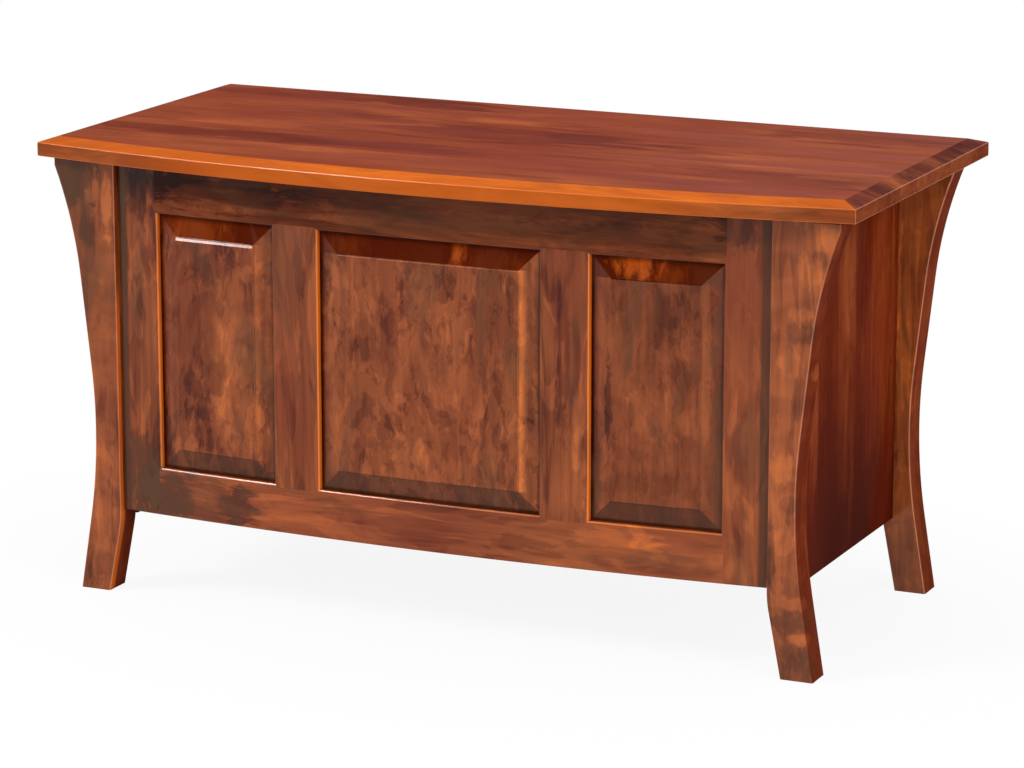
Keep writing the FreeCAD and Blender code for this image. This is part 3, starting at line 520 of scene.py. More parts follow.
def piece(mesh, name, material, body, slot, *nodes):
    """Makes a finished piece of a bmesh, on its body, in place of its CAD nodes."""
    data = bpy.data.meshes.new(name)
    mesh.to_mesh(data)
    mesh.free()
    data.materials.append(material)
    made = bpy.data.objects.new(name, data)
    bpy.context.scene.collection.objects.link(made)
    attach(made, body)
    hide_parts(*nodes)


def blister(timber, strength):
    """Upright blotches with ragged edges, one to two fingers wide, over soft clouds."""
    large = noise(timber.place, (26.0, 26.0, 12.0), 2.0, 0.5, 0.6)
    dark = noise(timber.place, (44.0, 44.0, 22.0), 4.0, 0.6, 0.6)
    small = noise(timber.place, (84.0, 84.0, 44.0), 3.0, 0.6, 0.5)
    light = noise(timber.place, (48.0, 48.0, 22.0), 4.0, 0.6, 0.5)
    fresh = noise(timber.place, (7.0, 7.0, 5.0), 1.0).rise(0.35, 0.6)
    crisp = light.rise(0.54, 0.6) * 0.13 - dark.rise(0.53, 0.58) * 0.13 - small.rise(0.55, 0.61) * 0.07
    return ((0.5 + 0.5 * fresh) * crisp + (large.rise(0.42, 0.56) - 0.5) * 0.1) * strength


tongue = 0.008
bevel = 0.030
field_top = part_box("front_panel_left")[1].z - tongue - bevel
eased_slope = 0.144
soft_edge = 0.0004  # how far a mask takes to fade
same_spot = 1e-6  # vertices nearer than this are one
OX_RED = paint(84, 26, 8)
RUST = paint(190, 82, 22)
# line is how strong the painted highlight by each field's right edge is, and glow the painted highlight on
# its arrises.
panels = {
    "front_panel_left": {
        "tone": 0.37, "figure": 1.05, "line": 0.18, "glow": 0.3, "umber": 0.4, "eased": 0.0045,
    },
    "front_panel_centre": {
        "tone": 0.42, "figure": 1.0, "line": 0.4, "glow": 0.25, "umber": 0.4, "eased": 0.0018,
    },
    "front_panel_right": {
        "tone": 0.36, "figure": 0.5, "line": 0.14, "glow": 0.05, "umber": 0.6, "eased": 0.0,
    },
}
panel_spots = {
    "front_panel_left": spots_at(bowed_face, deep, (
        (-0.305, 0.38, 0.018, 0.06, 0.14),
        (-0.315, 0.28, 0.020, 0.05, 0.12),
        (-0.360, 0.29, 0.025, 0.05, -0.12),
        (-0.330, 0.49, 0.040, 0.02, -0.10),
        (-0.350, 0.515, 0.012, 0.012, 0.14),
    )),
    "front_panel_centre": spots_at(bowed_face, deep, (
        (0.030, 0.500, 0.016, 0.030, -0.16),
        (-0.030, 0.480, 0.016, 0.026, -0.12),
        (-0.100, 0.400, 0.020, 0.025, -0.12),
        (0.000, 0.420, 0.012, 0.030, -0.10),
        (-0.050, 0.300, 0.014, 0.016, -0.14),
        (-0.090, 0.470, 0.020, 0.030, 0.06),
        (-0.010, 0.250, 0.012, 0.030, 0.14),
        (0.070, 0.360, 0.040, 0.060, 0.05),
    )),
    "front_panel_right": spots_at(bowed_face, deep, (
        (0.330, 0.350, 0.040, 0.040, 0.10),
        (0.370, 0.450, 0.014, 0.030, 0.10),
        (0.330, 0.480, 0.060, 0.040, -0.08),
        (0.265, 0.350, 0.006, 0.070, -0.22),
        (0.330, 0.250, 0.060, 0.020, -0.06),
        (0.400, 0.400, 0.008, 0.100, 0.08),
    )),
}
flame_spots = {
    "front_panel_left": spots_at(bowed_face, deep, (
        (-0.365, 0.540, 0.075, 0.040, 0.55),
        (-0.268, 0.540, 0.028, 0.040, -0.50),
    )),
    "front_panel_centre": spots_at(bowed_face, deep, (
        (0.045, 0.543, 0.010, 0.026, 1.00),
        (0.105, 0.532, 0.055, 0.020, 0.16),
        (-0.120, 0.538, 0.032, 0.018, 0.25),
        (-0.020, 0.545, 0.050, 0.020, -0.35),
    )),
    "front_panel_right": spots_at(bowed_face, deep, (
        (0.298, 0.547, 0.032, 0.018, 1.60),
        (0.345, 0.540, 0.030, 0.024, 0.45),
        (0.262, 0.545, 0.012, 0.022, -0.30),
    )),
}


def top_bevel(timber):
    """The top bevel, and the end of the left one that meets it."""
    face = timber.nz.rise(0.1, 0.2).larger(1.0 - timber.nx.rise(-0.2, -0.12))
    return face * timber.z.rise(field_top, field_top + 0.0005) * (1.0 - timber.arris)


def flames(timber, name):
    """Bright and dark flames along the grain of a top bevel, with soft edges."""
    return blotches(timber, flame_spots[name], (110.0, 110.0, 30.0), (0.0, 1.5))


def bottom_bevel(timber):
    """The bottom bevel, which faces down and is given more of the brown."""
    return (1.0 - timber.nz.rise(-0.2, -0.1)) * timber.ny.size().rise(0.8, 0.9)


def raised_figure(name):
    """The panel's figure, with painted shade in its grooves, beside the left wall and at the top of the top
    bevel, and painted highlights: a line by the field's right edge and a little on the left bevel.
    """
    low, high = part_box(name)
    middle_x, half_x = (low.x + high.x) / 2, (high.x - low.x) / 2 - tongue
    middle_z, half_z = (low.z + high.z) / 2, (high.z - low.z) / 2 - tongue
    panel = panels[name]

    def figure(timber):
        beside = (timber.x - middle_x).size() - half_x
        above = (timber.z - middle_z).size() - half_z
        # Painted shade in the grooves, and painted shadow of the left wall on the bevel beside it.
        groove = beside.larger(above).rise(-0.006, 0.0)
        wall_shadow = 1.0 - (timber.x - (middle_x - half_x)).rise(0.003, 0.017)
        # A painted highlight: a bright line just beside the field's right edge.
        from_field = timber.x - (middle_x + half_x - bevel)
        line = from_field.rise(-0.001, 0.001) * (1.0 - from_field.rise(0.002, 0.014))
        line = line * (1.0 - above.rise(-bevel, -bevel + 0.001))
        # The left bevel, turned towards the lamps on the left, is made a little lighter as painted light.
        left_bevel = 1.0 - timber.nx.rise(-0.2, -0.12)
        if panel["eased"]:
            foot = field_top - panel["eased"]
            strip = timber.z.rise(foot, foot + soft_edge)
            strip = strip * (1.0 - timber.z.rise(field_top, field_top + soft_edge))
            timber.polished = strip * (1.0 - beside.rise(-bevel - 0.001, -bevel))
            # The slope takes the arrises' gloss and their painted highlight.
            timber.arris = timber.arris.larger(timber.polished)
        # Painted shade on the top bevel near the groove under the rail.
        top_groove_shade = timber.z.rise(field_top + 0.014, field_top + 0.030) * 0.2
        tone = blister(timber, panel["figure"]) + blotches(timber, panel_spots[name])
        tone = tone + line * panel["line"] - groove * 0.3 - wall_shadow * 0.22 + left_bevel * 0.03
        mottled = ragged(timber, (90.0, 90.0, 20.0), 0.42, 0.66)
        top = flames(timber, name) * 0.3 + mottled * 0.14 - top_groove_shade - 0.26
        return tone + top_bevel(timber) * top

    return figure


def red_top(name):
    """The top bevel's deep red, but for its bright flames."""
    return lambda timber: top_bevel(timber) * (0.7 - flames(timber, name) * 0.6).larger(0.0)


def bright_top(name):
    """Its flames, where the stain is a bright orange."""
    return lambda timber: top_bevel(timber) * flames(timber, name).larger(0.0) * 0.4


def ease(name, width):
    """Planes the field's top edge back to a slope of that width, which catches the light."""
    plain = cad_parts[name].data.copy()
    plain.attributes.remove(plain.attributes["custom_normal"])
    mesh = bmesh.new()
    mesh.from_mesh(plain)
    bpy.data.meshes.remove(plain)
    bmesh.ops.remove_doubles(mesh, verts=mesh.verts, dist=same_spot)
    foot = field_top - width
    everything = mesh.verts[:] + mesh.edges[:] + mesh.faces[:]
    level = {"plane_co": (0.0, 0.0, foot), "plane_no": (0, 0, 1)}
    bmesh.ops.bisect_plane(mesh, geom=everything, dist=same_spot, **level)
    mesh.normal_update()
    for vert in mesh.verts:
        if foot < vert.co.z < field_top + 1e-4 and vert.normal.y < -0.5:
            vert.co.y += (vert.co.z - foot) * eased_slope
    mesh.normal_update()
    for face in mesh.faces:
        face.smooth = abs(face.normal.z) < 0.05
    for edge in mesh.edges:
        edge.smooth = edge.calc_face_angle(0.0) < math.radians(2)
    return mesh


for number, (name, panel) in enumerate(panels.items(), 21):
    washes = [
        (OX_RED, red_top(name)),
        (RUST, bright_top(name)),
        (UMBER, lambda timber: bottom_bevel(timber) * 0.4),
    ]
    wood = cherry(
        name + "_cherry", ALONG_Z, number, panel["tone"], raised_figure(name), bands=0.12, clouds=0.4,
        fine=0.2, glow=panel["glow"], soak=0.26, red=0.2, umber=panel["umber"], glint=1.0,
        veil=lambda timber: timber.nz.rise(0.1, 0.2) * -0.03, washes=washes,
    )
    if panel["eased"]:
        piece(ease(name, panel["eased"]), name + "_eased", wood, "case", "panel_wood", name)
    else:
        dress([name], wood)

# ---------------------------------------------------------------- sides, back and bottom
# The sides are edge-glued boards on end, and the back and the bottom are lying boards. The sides and the
# back are dowelled to the legs; the bottom rests on four ledgers, and a rail backs the hinges' screws.


def glued_boards(wire, first, seams):
    """Boards edge to edge: each one's tone, from seam to seam, with a fine dark line at the glue."""
    tone = first
    for seam, step in seams:
        line = 1.0 - (wire - seam).size().rise(0.0002, 0.0007)
        tone = tone + wire.rise(seam - 0.0004, seam + 0.0004) * step - line * 0.12
    return tone


side_face = 0.508
side_spots = [
    ((side_face, y, z), (deep, wide, tall), by)
    for y, z, wide, tall, by in (
        (-0.115, 0.32, 0.016, 0.140, 0.30),
        (-0.140, 0.42, 0.020, 0.030, 0.22),
        (0.015, 0.50, 0.038, 0.085, 0.26),
        (0.005, 0.28, 0.030, 0.100, 0.06),
        (-0.060, 0.40, 0.025, 0.200, -0.06),
        (0.155, 0.45, 0.040, 0.160, 0.16),
        (0.080, 0.50, 0.022, 0.100, -0.10),
        (0.200, 0.35, 0.012, 0.240, 0.12),
    )
]


def low_down(timber):
    """The lower part of the sides, which is darker and less red."""
    return 1.0 - timber.z.rise(0.10, 0.40)


def side_figure(timber):
    """Bright upright streaks in deep red boards, darker towards the floor."""
    bright = ragged(timber, (40.0, 40.0, 4.0), 0.53, 0.66)
    boards = glued_boards(timber.y, -0.02, ((-0.095, -0.05), (-0.022, 0.09), (0.051, -0.12), (0.111, 0.12)))
    spots = blotches(timber, side_spots, (60.0, 60.0, 10.0), (0.3, 1.4))
    return blister(timber, 0.4) + bright * 0.09 + boards - low_down(timber) * 0.3 + spots


for number, name in enumerate(("side_panel_left", "side_panel_right"), 31):
    washes = [(FOX_RED, lambda timber: 0.38 - low_down(timber) * 0.24)]
    wood = cherry(
        name + "_cherry", ALONG_Z, number, 0.22, side_figure, bands=0.25, clouds=0.3, fine=0.16, red=0.4,
        umber=0.0, washes=washes,
    )
    dress([name], wood)


def lying_boards(timber):
    """The back is glued up of three lying boards."""
    flames = ragged(timber, (34.0, 34.0, 5.0), 0.52, 0.6) * 0.12
    return glued_boards(timber.z, 0.0, ((0.29, 0.1), (0.46, -0.14))) - flames


def bottom_boards(timber):
    """The bottom is glued up of three boards, too."""
    return glued_boards(timber.y, 0.0, ((-0.09, -0.08), (0.10, 0.12)))


wood = cherry(
    "back_panel_cherry", ALONG_X, 41, 0.42, lying_boards, bands=0.7, clouds=0.3, fine=0.5, umber=0.2,
)
dress(["back_panel"], wood)
dress(["bottom_board"], cherry("bottom_board_cherry", ALONG_X, 42, 0.42, bottom_boards))
for number, name in enumerate(("hinge_rail", "bottom_ledger_front", "bottom_ledger_back"), 43):
    dress([name], cherry(name + "_cherry", ALONG_X, number))
for number, name in enumerate(("bottom_ledger_left", "bottom_ledger_right"), 51):
    dress([name], cherry(name + "_cherry", ALONG_Y, number))

# ---------------------------------------------------------------- screws
# Countersunk steel and brass wood screws with a cross recess. They hold the ledgers, the hinge rail,
# the battens, the hinge leaves and the stays' brackets and plates.


def worn_metal(name, bright, dull, roughness):
    """Metal with a hazy tarnish and fine brush marks."""
    material = bpy.data.materials.new(name)
    material.use_nodes = True
    tree = material.node_tree
    shader = tree.nodes["Principled BSDF"]
    place = Wire(tree).node("TexCoord", {}, {}, "Object")
    haze = noise(place, 90.0, 3.0, 0.6, 0.4).rise(0.35, 0.7)
    brush = noise(place, (3000.0, 200.0, 3000.0), 2.0)
    colour = haze.ramp([(0.0, bright), (1.0, dull)])
    gloss = roughness + haze * 0.15 + (brush - 0.5) * 0.1
    relief = brush.node("Bump", {}, {"Strength": 0.2, "Distance": 0.0001, "Height": brush}, "Normal")
    for socket, wire in {"Base Color": colour, "Roughness": gloss, "Normal": relief}.items():
        tree.links.new(wire.socket, shader.inputs[socket])
    shader.inputs["Metallic"].default_value = 1.0
    return material


def solids(node):
    """The boxes of a node's separate solids."""
    mesh = bmesh.new()
    mesh.from_mesh(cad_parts[node].data)
    bmesh.ops.remove_doubles(mesh, verts=mesh.verts, dist=same_spot)
    left = set(mesh.verts)
    boxes = []
    while left:
        group = [left.pop()]
        for vert in group:
            for edge in vert.link_edges:
                other = edge.other_vert(vert)
                if other in left:
                    left.remove(other)
                    group.append(other)
        spots = [vert.co for vert in group]
        low = Vector([min(spot[k] for spot in spots) for k in range(3)])
        high = Vector([max(spot[k] for spot in spots) for k in range(3)])
        boxes.append((low, high))
    mesh.free()
    return boxes


def add_part(mesh, part, spot, axis):
    """Adds a part that was made upright at the origin, at its spot and along its axis."""
    turn = Vector((0, 0, 1)).rotation_difference(Vector(axis)).to_matrix()
    bmesh.ops.transform(part, matrix=Matrix.Translation(spot) @ turn.to_4x4(), verts=part.verts)
    bmesh.ops.recalc_face_normals(part, faces=part.faces)
    data = bpy.data.meshes.new("part")
    part.to_mesh(data)
    part.free()
    mesh.from_mesh(data)
    bpy.data.meshes.remove(data)


def turned(profile, sides=24):
    """A turned shape: a profile of (radius, height) pairs, spun once round."""
    part = bmesh.new()
    verts = [part.verts.new((radius, 0.0, height)) for radius, height in profile]
    edges = [part.edges.new(pair) for pair in zip(verts, verts[1:])]
    turn = {"cent": (0, 0, 0), "axis": (0, 0, 1), "angle": math.tau, "steps": sides, "use_merge": True}
    bmesh.ops.spin(part, geom=verts + edges, **turn)
    bmesh.ops.remove_doubles(part, verts=part.verts, dist=same_spot)
    return part


brass = worn_metal("brass", paint(200, 162, 100), paint(166, 130, 78), 0.36)
steel = worn_metal("zinc_plate", paint(196, 194, 188), paint(140, 138, 132), 0.32)

head_radius = 0.0038
shank_radius = 0.002
head_height = 0.0022
recess_reach = 0.0021
recess_waist = 0.0006
recess_depth = 0.0013
recess_shoulder = 1.9
recess_taper = 0.45
point_taper = 0.15


def screw(length):
    """A countersunk screw, its face at the origin and its point upwards."""
    part = bmesh.new()
    point = length - 2 * shank_radius
    sides = 16
    rim = bmesh.ops.create_circle(part, cap_ends=True, segments=sides, radius=head_radius)["verts"]
    face = rim[0].link_faces[0]
    bmesh.ops.inset_region(part, faces=[face], thickness=head_radius - recess_reach, use_even_offset=True)
    for vert in face.verts:
        turn = round(math.atan2(vert.co.y, vert.co.x) / (math.tau / sides))
        reach = recess_reach if turn % 4 == 0 else recess_waist * (recess_shoulder if turn % 2 else 1.0)
        vert.co = vert.co.normalized() * reach
    sunk = bmesh.ops.extrude_discrete_faces(part, faces=[face])["faces"][0]
    bmesh.ops.translate(part, vec=(0, 0, recess_depth), verts=sunk.verts)
    bmesh.ops.scale(part, vec=(recess_taper, recess_taper, 1.0), verts=sunk.verts)
    edges = list({e for v in rim for e in v.link_edges if e.is_boundary})
    steps = [
        (shank_radius / head_radius, head_height),
        (1.0, point - head_height),
        (point_taper, 2 * shank_radius),
    ]
    for shrink, along in steps:
        grown = bmesh.ops.extrude_edge_only(part, edges=edges)["geom"]
        verts = [g for g in grown if isinstance(g, bmesh.types.BMVert)]
        edges = [g for g in grown if isinstance(g, bmesh.types.BMEdge)]
        bmesh.ops.translate(part, vec=(0, 0, along), verts=verts)
        bmesh.ops.scale(part, vec=(shrink, shrink, 1.0), verts=verts)
    bmesh.ops.holes_fill(part, edges=edges, sides=sides)
    return part


def screws(node, material, body, slot, heads_low):
    """Screws where the node's solids are; heads_low tells which end of each one's axis has its head."""
    mesh = bmesh.new()
    for low, high in solids(node):
        size = high - low
        k = max(range(3), key=lambda i: size[i])
        middle = (low + high) / 2
        head, axis = middle.copy(), Vector((0, 0, 0))
        toward = 1 if heads_low(k, middle) else -1
        head[k] = low[k] if toward == 1 else high[k]
        axis[k] = toward
        add_part(mesh, screw(size[k]), head, axis)
    piece(mesh, node + "_cut", material, body, slot, node)


def from_inside(k, middle):
    """Case screws are driven outwards, from the inside of the case."""
    return middle[k] > 0


screws("case_screws", steel, "case", "steel_screws", from_inside)
screws("stay_case_screws", brass, "case", "brass_screws", from_inside)
screws("hinge_case_screws", brass, "case", "brass_screws", lambda k, middle: False)
screws("hinge_lid_screws", brass, "lid", "brass_screws", lambda k, middle: True)
screws("stay_lid_screws", brass, "lid", "brass_screws", lambda k, middle: True)
screws("lid_batten_screws", steel, "lid", "steel_screws", lambda k, middle: True)

# ---------------------------------------------------------------- hinges
# Three solid brass butt hinges, each two leaves that turn on a pin. The leaves are let into the top of
# the back and the underside of the lid, and screwed there.

for number in range(1, 4):
    dress(["hinge_%d_%s" % (number, part) for part in ("case_leaf", "lid_leaf", "pin")], brass)

# ---------------------------------------------------------------- lid stays
# Two slotted brass arms. Each turns on a domed rivet under the lid, and slides over a pin that is
# riveted to a plate on the side; a knurled nut keeps it there.

for side in ("left", "right"):
    dress(["stay_arm_" + side, "stay_bracket_" + side, "stay_plate_" + side], brass)

knurl_count = 40
knurl_depth = 0.0004
for side in ("left", "right"):
    low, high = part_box("stay_knob_" + side)
    middle = (low + high) / 2
    radius = (high.z - low.z) / 2
    length = high.x - low.x
    outward = 1 if side == "left" else -1
    start = Vector((low.x if outward == 1 else high.x, middle.y, middle.z))
    mesh = bmesh.new()
    profile = [(0.0, 0.0), (0.6, 0.0), (0.94, 0.0), (1.0, 0.07), (1.0, 0.5), (1.0, 0.86), (0.9, 0.97)]
    profile += [(0.62, 1.0), (0.56, 0.93), (0.0, 0.9)]
    profile = [(r * radius, h * length) for r, h in profile]
    knob = turned(profile, 2 * knurl_count)
    for vert in knob.verts:
        spoke = Vector((vert.co.x, vert.co.y, 0.0))
        turn = round(math.atan2(spoke.y, spoke.x) / math.tau * 2 * knurl_count)
        if spoke.length > 0.98 * radius and turn % 2:
            vert.co -= spoke.normalized() * knurl_depth
    add_part(mesh, knob, start, (outward, 0, 0))
    piece(mesh, "stay_knob_%s_knurled" % side, brass, "case", "stay_brass", "stay_knob_" + side)

for side in ("left", "right"):
    low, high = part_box("stay_rivet_" + side)
    middle = (low + high) / 2
    radius = (high.z - low.z) / 2
    outward = 1 if side == "right" else -1
    length = high.x - low.x
    start = Vector((low.x if outward == 1 else high.x, middle.y, middle.z))
    head = 0.0018
    foot = 0.0012
    profile = [(0.0, 0.0), (0.55 * radius, 0.12 * head), (0.86 * radius, 0.5 * head), (radius, head)]
    profile += [(radius / 2, head), (radius / 2, length - foot), (0.8 * radius, length - foot)]
    profile += [(0.7 * radius, length - 0.3 * foot), (0.0, length)]
    mesh = bmesh.new()
    add_part(mesh, turned(profile), start, (outward, 0, 0))
    piece(mesh, "stay_rivet_%s_domed" % side, brass, "lid", "stay_brass", "stay_rivet_" + side)

# ---------------------------------------------------------------- lid
# Five edge-glued boards of cherry, bevelled round the top and screwed to two battens underneath. The
# long bevels and edges are painted lighter than the top, as painted light; the end grain soaked up more
# stain.

board_tones = (0.49, 0.40, 0.48, 0.46, 0.44)
lid_face = 0.65
lid_spots = [
    ((x, y, lid_face), (long, wide, deep), by)
    for x, y, long, wide, by in (
        (-0.35, -0.115, 0.36, 0.034, -0.16),
        (-0.12, -0.120, 0.14, 0.032, -0.14),
        (0.02, 0.040, 0.20, 0.060, -0.14),
        (0.10, 0.040, 0.06, 0.034, -0.14),
        (0.45, -0.010, 0.17, 0.045, 0.12),
        (0.45, -0.125, 0.16, 0.040, -0.12),
        (0.28, -0.190, 0.12, 0.024, -0.12),
        (0.46, 0.215, 0.14, 0.050, -0.14),
        (-0.40, 0.240, 0.26, 0.036, -0.14),
        (-0.06, 0.140, 0.08, 0.025, 0.12),
        (-0.24, 0.240, 0.12, 0.040, -0.10),
        (-0.30, 0.080, 0.16, 0.034, -0.08),
        (-0.05, 0.000, 0.28, 0.180, -0.05),
        (-0.20, -0.170, 0.14, 0.020, 0.08),
        (-0.40, -0.020, 0.10, 0.030, 0.08),
        (0.44, -0.280, 0.20, 0.030, -0.03),
    )
]
end_x, end_z, end_long = 0.59, 0.64, 0.06
end_spots = [
    ((end_x, y, end_z), (end_long, wide, deep), by)
    for y, wide, by in (
        (-0.205, 0.030, -0.17),
        (-0.125, 0.018, -0.20),
        (-0.072, 0.022, 0.24),
        (-0.250, 0.020, 0.14),
        (0.030, 0.060, -0.17),
        (0.185, 0.080, -0.26),
    )
]
MAUVE = paint(114, 56, 54)
BRICK = paint(156, 60, 36)


def lit_long_edge(timber):
    """The long bevels and edges, planed along the grain, where a brighter orange is painted as light."""
    sloped = timber.ny.size().rise(0.12, 0.22)
    return sloped * (1.0 - timber.nx.size().rise(0.08, 0.16))


def mauve(timber):
    """Broad purplish patches on the top, stronger towards the right."""
    patches = noise(timber.place, (14.0, 14.0, 2.6), 3.0, 0.6).rise(0.46, 0.64)
    return timber.nz.rise(0.97, 0.995) * patches * (0.35 + 0.2 * timber.x.rise(0.0, 0.5))


def lid_figure(timber):
    """Broad bands along the boards, painted light on the long bevels and edges, uneven stain on the bevels
    and end grain that soaked it up.
    """
    bevel_face = lit_long_edge(timber) * timber.nz.rise(0.5, 0.9)
    edge_face = timber.ny.size().rise(0.8, 0.95)
    dark = ragged(timber, (30.0, 30.0, 6.0), 0.5, 0.6)
    light = ragged(timber, (34.0, 34.0, 7.0), 0.52, 0.62)
    end_bevel = timber.nx.size().rise(0.12, 0.2) * timber.nz.rise(0.5, 0.9)
    uneven = (light * 0.1 - dark * 0.16) * (0.5 + 0.5 * bevel_face)
    long_spots = blotches(timber, lid_spots, (46.0, 46.0, 6.0)) * timber.nz.rise(-0.8, 0.4)
    end_tone = blotches(timber, end_spots, (20.0, 20.0, 20.0), (0.5, 1.3)) - 0.04
    # The long bevels and edges are made lighter, as painted light.
    return bevel_face * 0.33 + edge_face * 0.07 + uneven + end_bevel * end_tone + long_spots * 1.7


def lid_veil(timber):
    """A thicker varnish on the top, most of all to the right, where it was laid on last."""
    return timber.nz.rise(0.95, 0.99) * (0.012 + 0.035 * timber.x.rise(-0.1, 0.6))


def right_bevel(timber):
    """The bevel across the boards' right ends."""
    return timber.nx.rise(0.12, 0.2) * timber.nz.rise(0.5, 0.9)


for number, middle in enumerate(board_tones, 1):
    name = "lid_board_%d" % number
    washes = [
        # Painted light: a brighter orange on the long bevels and edges.
        (ORANGE, lambda timber: lit_long_edge(timber) * 0.5),
        (MAUVE, mauve),
        (BRICK, lambda timber: timber.nz.rise(0.95, 0.99) * 0.35),
        (DEEP_RED, lambda timber: timber.nx.size().rise(0.9, 0.97) * 0.25),
        (MAUVE, lambda timber: right_bevel(timber) * 0.3),
    ]
    wood = cherry(
        name + "_cherry", ALONG_X, number + 60, middle, lid_figure, bands=0.3, clouds=0.4, fine=0.2,
        soak=0.0, red=0.45, umber=0.06, sheen=0.0, glint=0.5, veil=lid_veil, washes=washes,
    )
    dress([name], wood)
for number, name in enumerate(("lid_batten_left", "lid_batten_right"), 71):
    dress([name], cherry(name + "_cherry", ALONG_Y, number))

# ---------------------------------------------------------------- bumpers
# Four dots of thick brown felt with rounded edges, stuck to the underside of the lid. Each is over the
# top of a leg, and the lid comes down on them.

felt = bpy.data.materials.new("bumper_felt")
felt.use_nodes = True
tree = felt.node_tree
shader = tree.nodes["Principled BSDF"]
place = Wire(tree).node("TexCoord", {}, {}, "Object")
fibres = noise(place, 1600.0, 3.0, 0.7, 1.0)
colour = fibres.ramp([(0.3, paint(60, 42, 32)), (0.7, paint(98, 74, 58))])
relief = fibres.node("Bump", {}, {"Strength": 0.6, "Distance": 0.0002, "Height": fibres}, "Normal")
tree.links.new(colour.socket, shader.inputs["Base Color"])
tree.links.new(relief.socket, shader.inputs["Normal"])
shader.inputs["Roughness"].default_value = 0.95
mesh = bmesh.new()
for low, high in solids("lid_bumpers"):
    middle = (low + high) / 2
    radius = (high.x - low.x) / 2
    thick = high.z - low.z
    profile = [(0.0, 0.0), (0.9 * radius, 0.0), (0.98 * radius, 0.1 * thick), (radius, 0.35 * thick)]
    profile += [(radius, 0.9 * thick), (0.97 * radius, thick), (0.0, thick)]
    add_part(mesh, turned(profile, 32), Vector((middle.x, middle.y, low.z)), (0, 0, 1))
piece(mesh, "lid_bumpers_felt", felt, "lid", "bumper_felt", "lid_bumpers")

# ---------------------------------------------------------------- dowels
# Beech dowels, glued into holes in the legs and in the ends of the case. They hold the front frame, the
# back and the sides to the legs, and don't show once the joints are closed.

BEECH = [(0.0, paint(168, 124, 84)), (1.0, paint(216, 180, 138))]
for number, name in enumerate(("front_leg_dowels", "back_leg_dowels", "side_panel_dowels"), 81):
    timber = Timber(name + "_beech", ALONG_X, number)
    tone = 0.5 + (timber.rings - 0.5) * 0.8 + (timber.streaks - 0.5) * 0.6 - timber.end_grain * 0.3
    gloss = 0.6 + (timber.streaks - 0.5) * 0.2
    dress([name], timber.varnish(tone.ramp(BEECH), gloss, timber.streaks, 0.0, 0.0))

# ---------------------------------------------------------------- studio
# A pale floor that runs out to white, a broad lamp in front and above, and a weaker one at the side. Two
# narrow lamps only make glints in the varnish: a high one on the front arrises, and a low one on the
# panels' polished slopes.

floor_reach = 30.0
floor_grey = 0.86
near_white = 0.90  # how much of the floor near the chest is plain white
floor_mesh = bmesh.new()
bmesh.ops.create_grid(floor_mesh, x_segments=1, y_segments=1, size=floor_reach)
floor_data = bpy.data.meshes.new("floor")
floor_mesh.to_mesh(floor_data)
floor = bpy.data.objects.new("floor", floor_data)
bpy.context.scene.collection.objects.link(floor)
floor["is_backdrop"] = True
floor_paint = bpy.data.materials.new("floor_paint")
floor_paint.use_nodes = True
tree = floor_paint.node_tree
shader = tree.nodes["Principled BSDF"]
shader.inputs["Base Color"].default_value = (floor_grey, floor_grey, floor_grey, 1.0)
shader.inputs["Roughness"].default_value = 0.9
shader.inputs["Specular IOR Level"].default_value = 0.0
start = Wire(tree)
place = start.node("TexCoord", {}, {}, "Object")
away = place.vector("LENGTH", place.vector("MULTIPLY", place, (1.0, 1.5, 0.0)), out="Value")
rays = start.node("LightPath", {}, {}, "Is Camera Ray")
white = start.node("Emission", {}, {"Color": (1.0, 1.0, 1.0, 1.0), "Strength": 1.0})
glossy = start.node("LightPath", {}, {}, "Is Glossy Ray")
through = start.node("LightPath", {}, {}, "Is Transmission Ray")
share = (near_white + (1.0 - near_white) * away.rise(0.5, 1.3)) * rays.larger(glossy).larger(through)
mixed = start.node("MixShader", {}, {0: share, 1: Wire(tree, shader.outputs[0]), 2: white})
tree.links.new(mixed.socket, tree.nodes["Material Output"].inputs["Surface"])
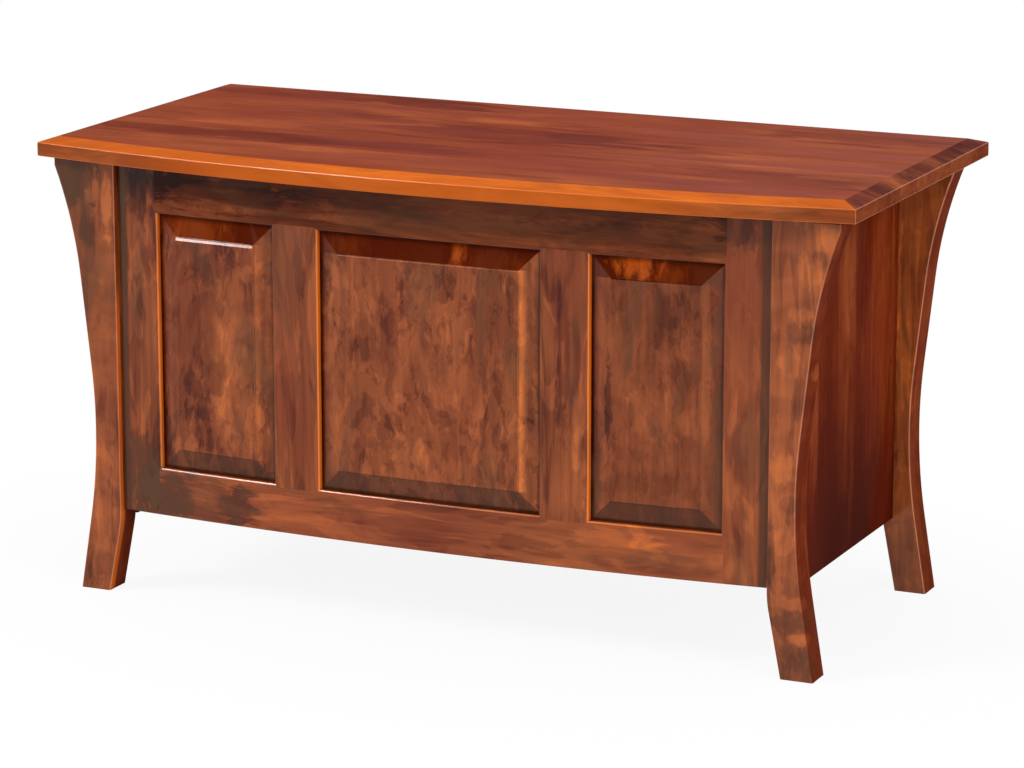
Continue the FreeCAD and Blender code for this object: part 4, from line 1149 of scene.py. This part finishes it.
floor_data.materials.append(floor_paint)

world = bpy.data.worlds.new("studio")
bpy.context.scene.world = world
world.use_nodes = True
tree = world.node_tree
start = Wire(tree)
seen = start.node("LightPath", {}, {}, "Is Camera Ray")
glossy = start.node("LightPath", {}, {}, "Is Glossy Ray")
through = start.node("LightPath", {}, {}, "Is Transmission Ray")
height = start.node("SeparateXYZ", {}, {0: start.node("TexCoord", {}, {}, "Generated")}, 2)
ambient = 0.3 + 0.6 * height.larger(0.0)
shown = seen.larger(glossy).larger(through)
strength = ambient + (1.0 - ambient) * shown
tree.links.new(strength.socket, tree.nodes["Background"].inputs["Strength"])
tree.nodes["Background"].inputs["Color"].default_value = (1.0, 1.0, 1.0, 1.0)


def soft_sun(name, source, strength, spread):
    """A large, distant lamp that shines from that direction."""
    data = bpy.data.lights.new(name, "SUN")
    data.energy = strength
    data.angle = math.radians(spread)
    made = bpy.data.objects.new(name, data)
    made.rotation_euler = Vector(source).to_track_quat("Z", "Y").to_euler()
    bpy.context.scene.collection.objects.link(made)
    return made


soft_sun("key_lamp", source=(-0.6, -0.5, 0.62), strength=1.7, spread=20.0)
soft_sun("side_lamp", source=(0.8, -0.4, 0.4), strength=1.1, spread=40.0)
glint_lamp = soft_sun("glint_lamp", source=(-0.5, -0.19, 0.85), strength=1.5, spread=10.0)
glint_lamp.visible_diffuse = False
field_lamp = soft_sun("field_lamp", source=(-0.62, -0.78, 0.09), strength=2.2, spread=10.0)
field_lamp.visible_diffuse = False

camera_place = (2.31095, -5.0694, 1.62335)
camera_down, camera_left = 13.34, 24.40
camera_lens, camera_film = 141.83, 36.0
camera_data = bpy.data.cameras.new("camera")
camera_data.sensor_width = camera_film
camera_data.lens = camera_lens
camera = bpy.data.objects.new("camera", camera_data)
camera.location = camera_place
camera.rotation_euler = (math.radians(90 - camera_down), 0.0, math.radians(camera_left))
bpy.context.scene.collection.objects.link(camera)
bpy.context.scene.camera = camera
bpy.context.scene.view_settings.view_transform = "Standard"

low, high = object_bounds()
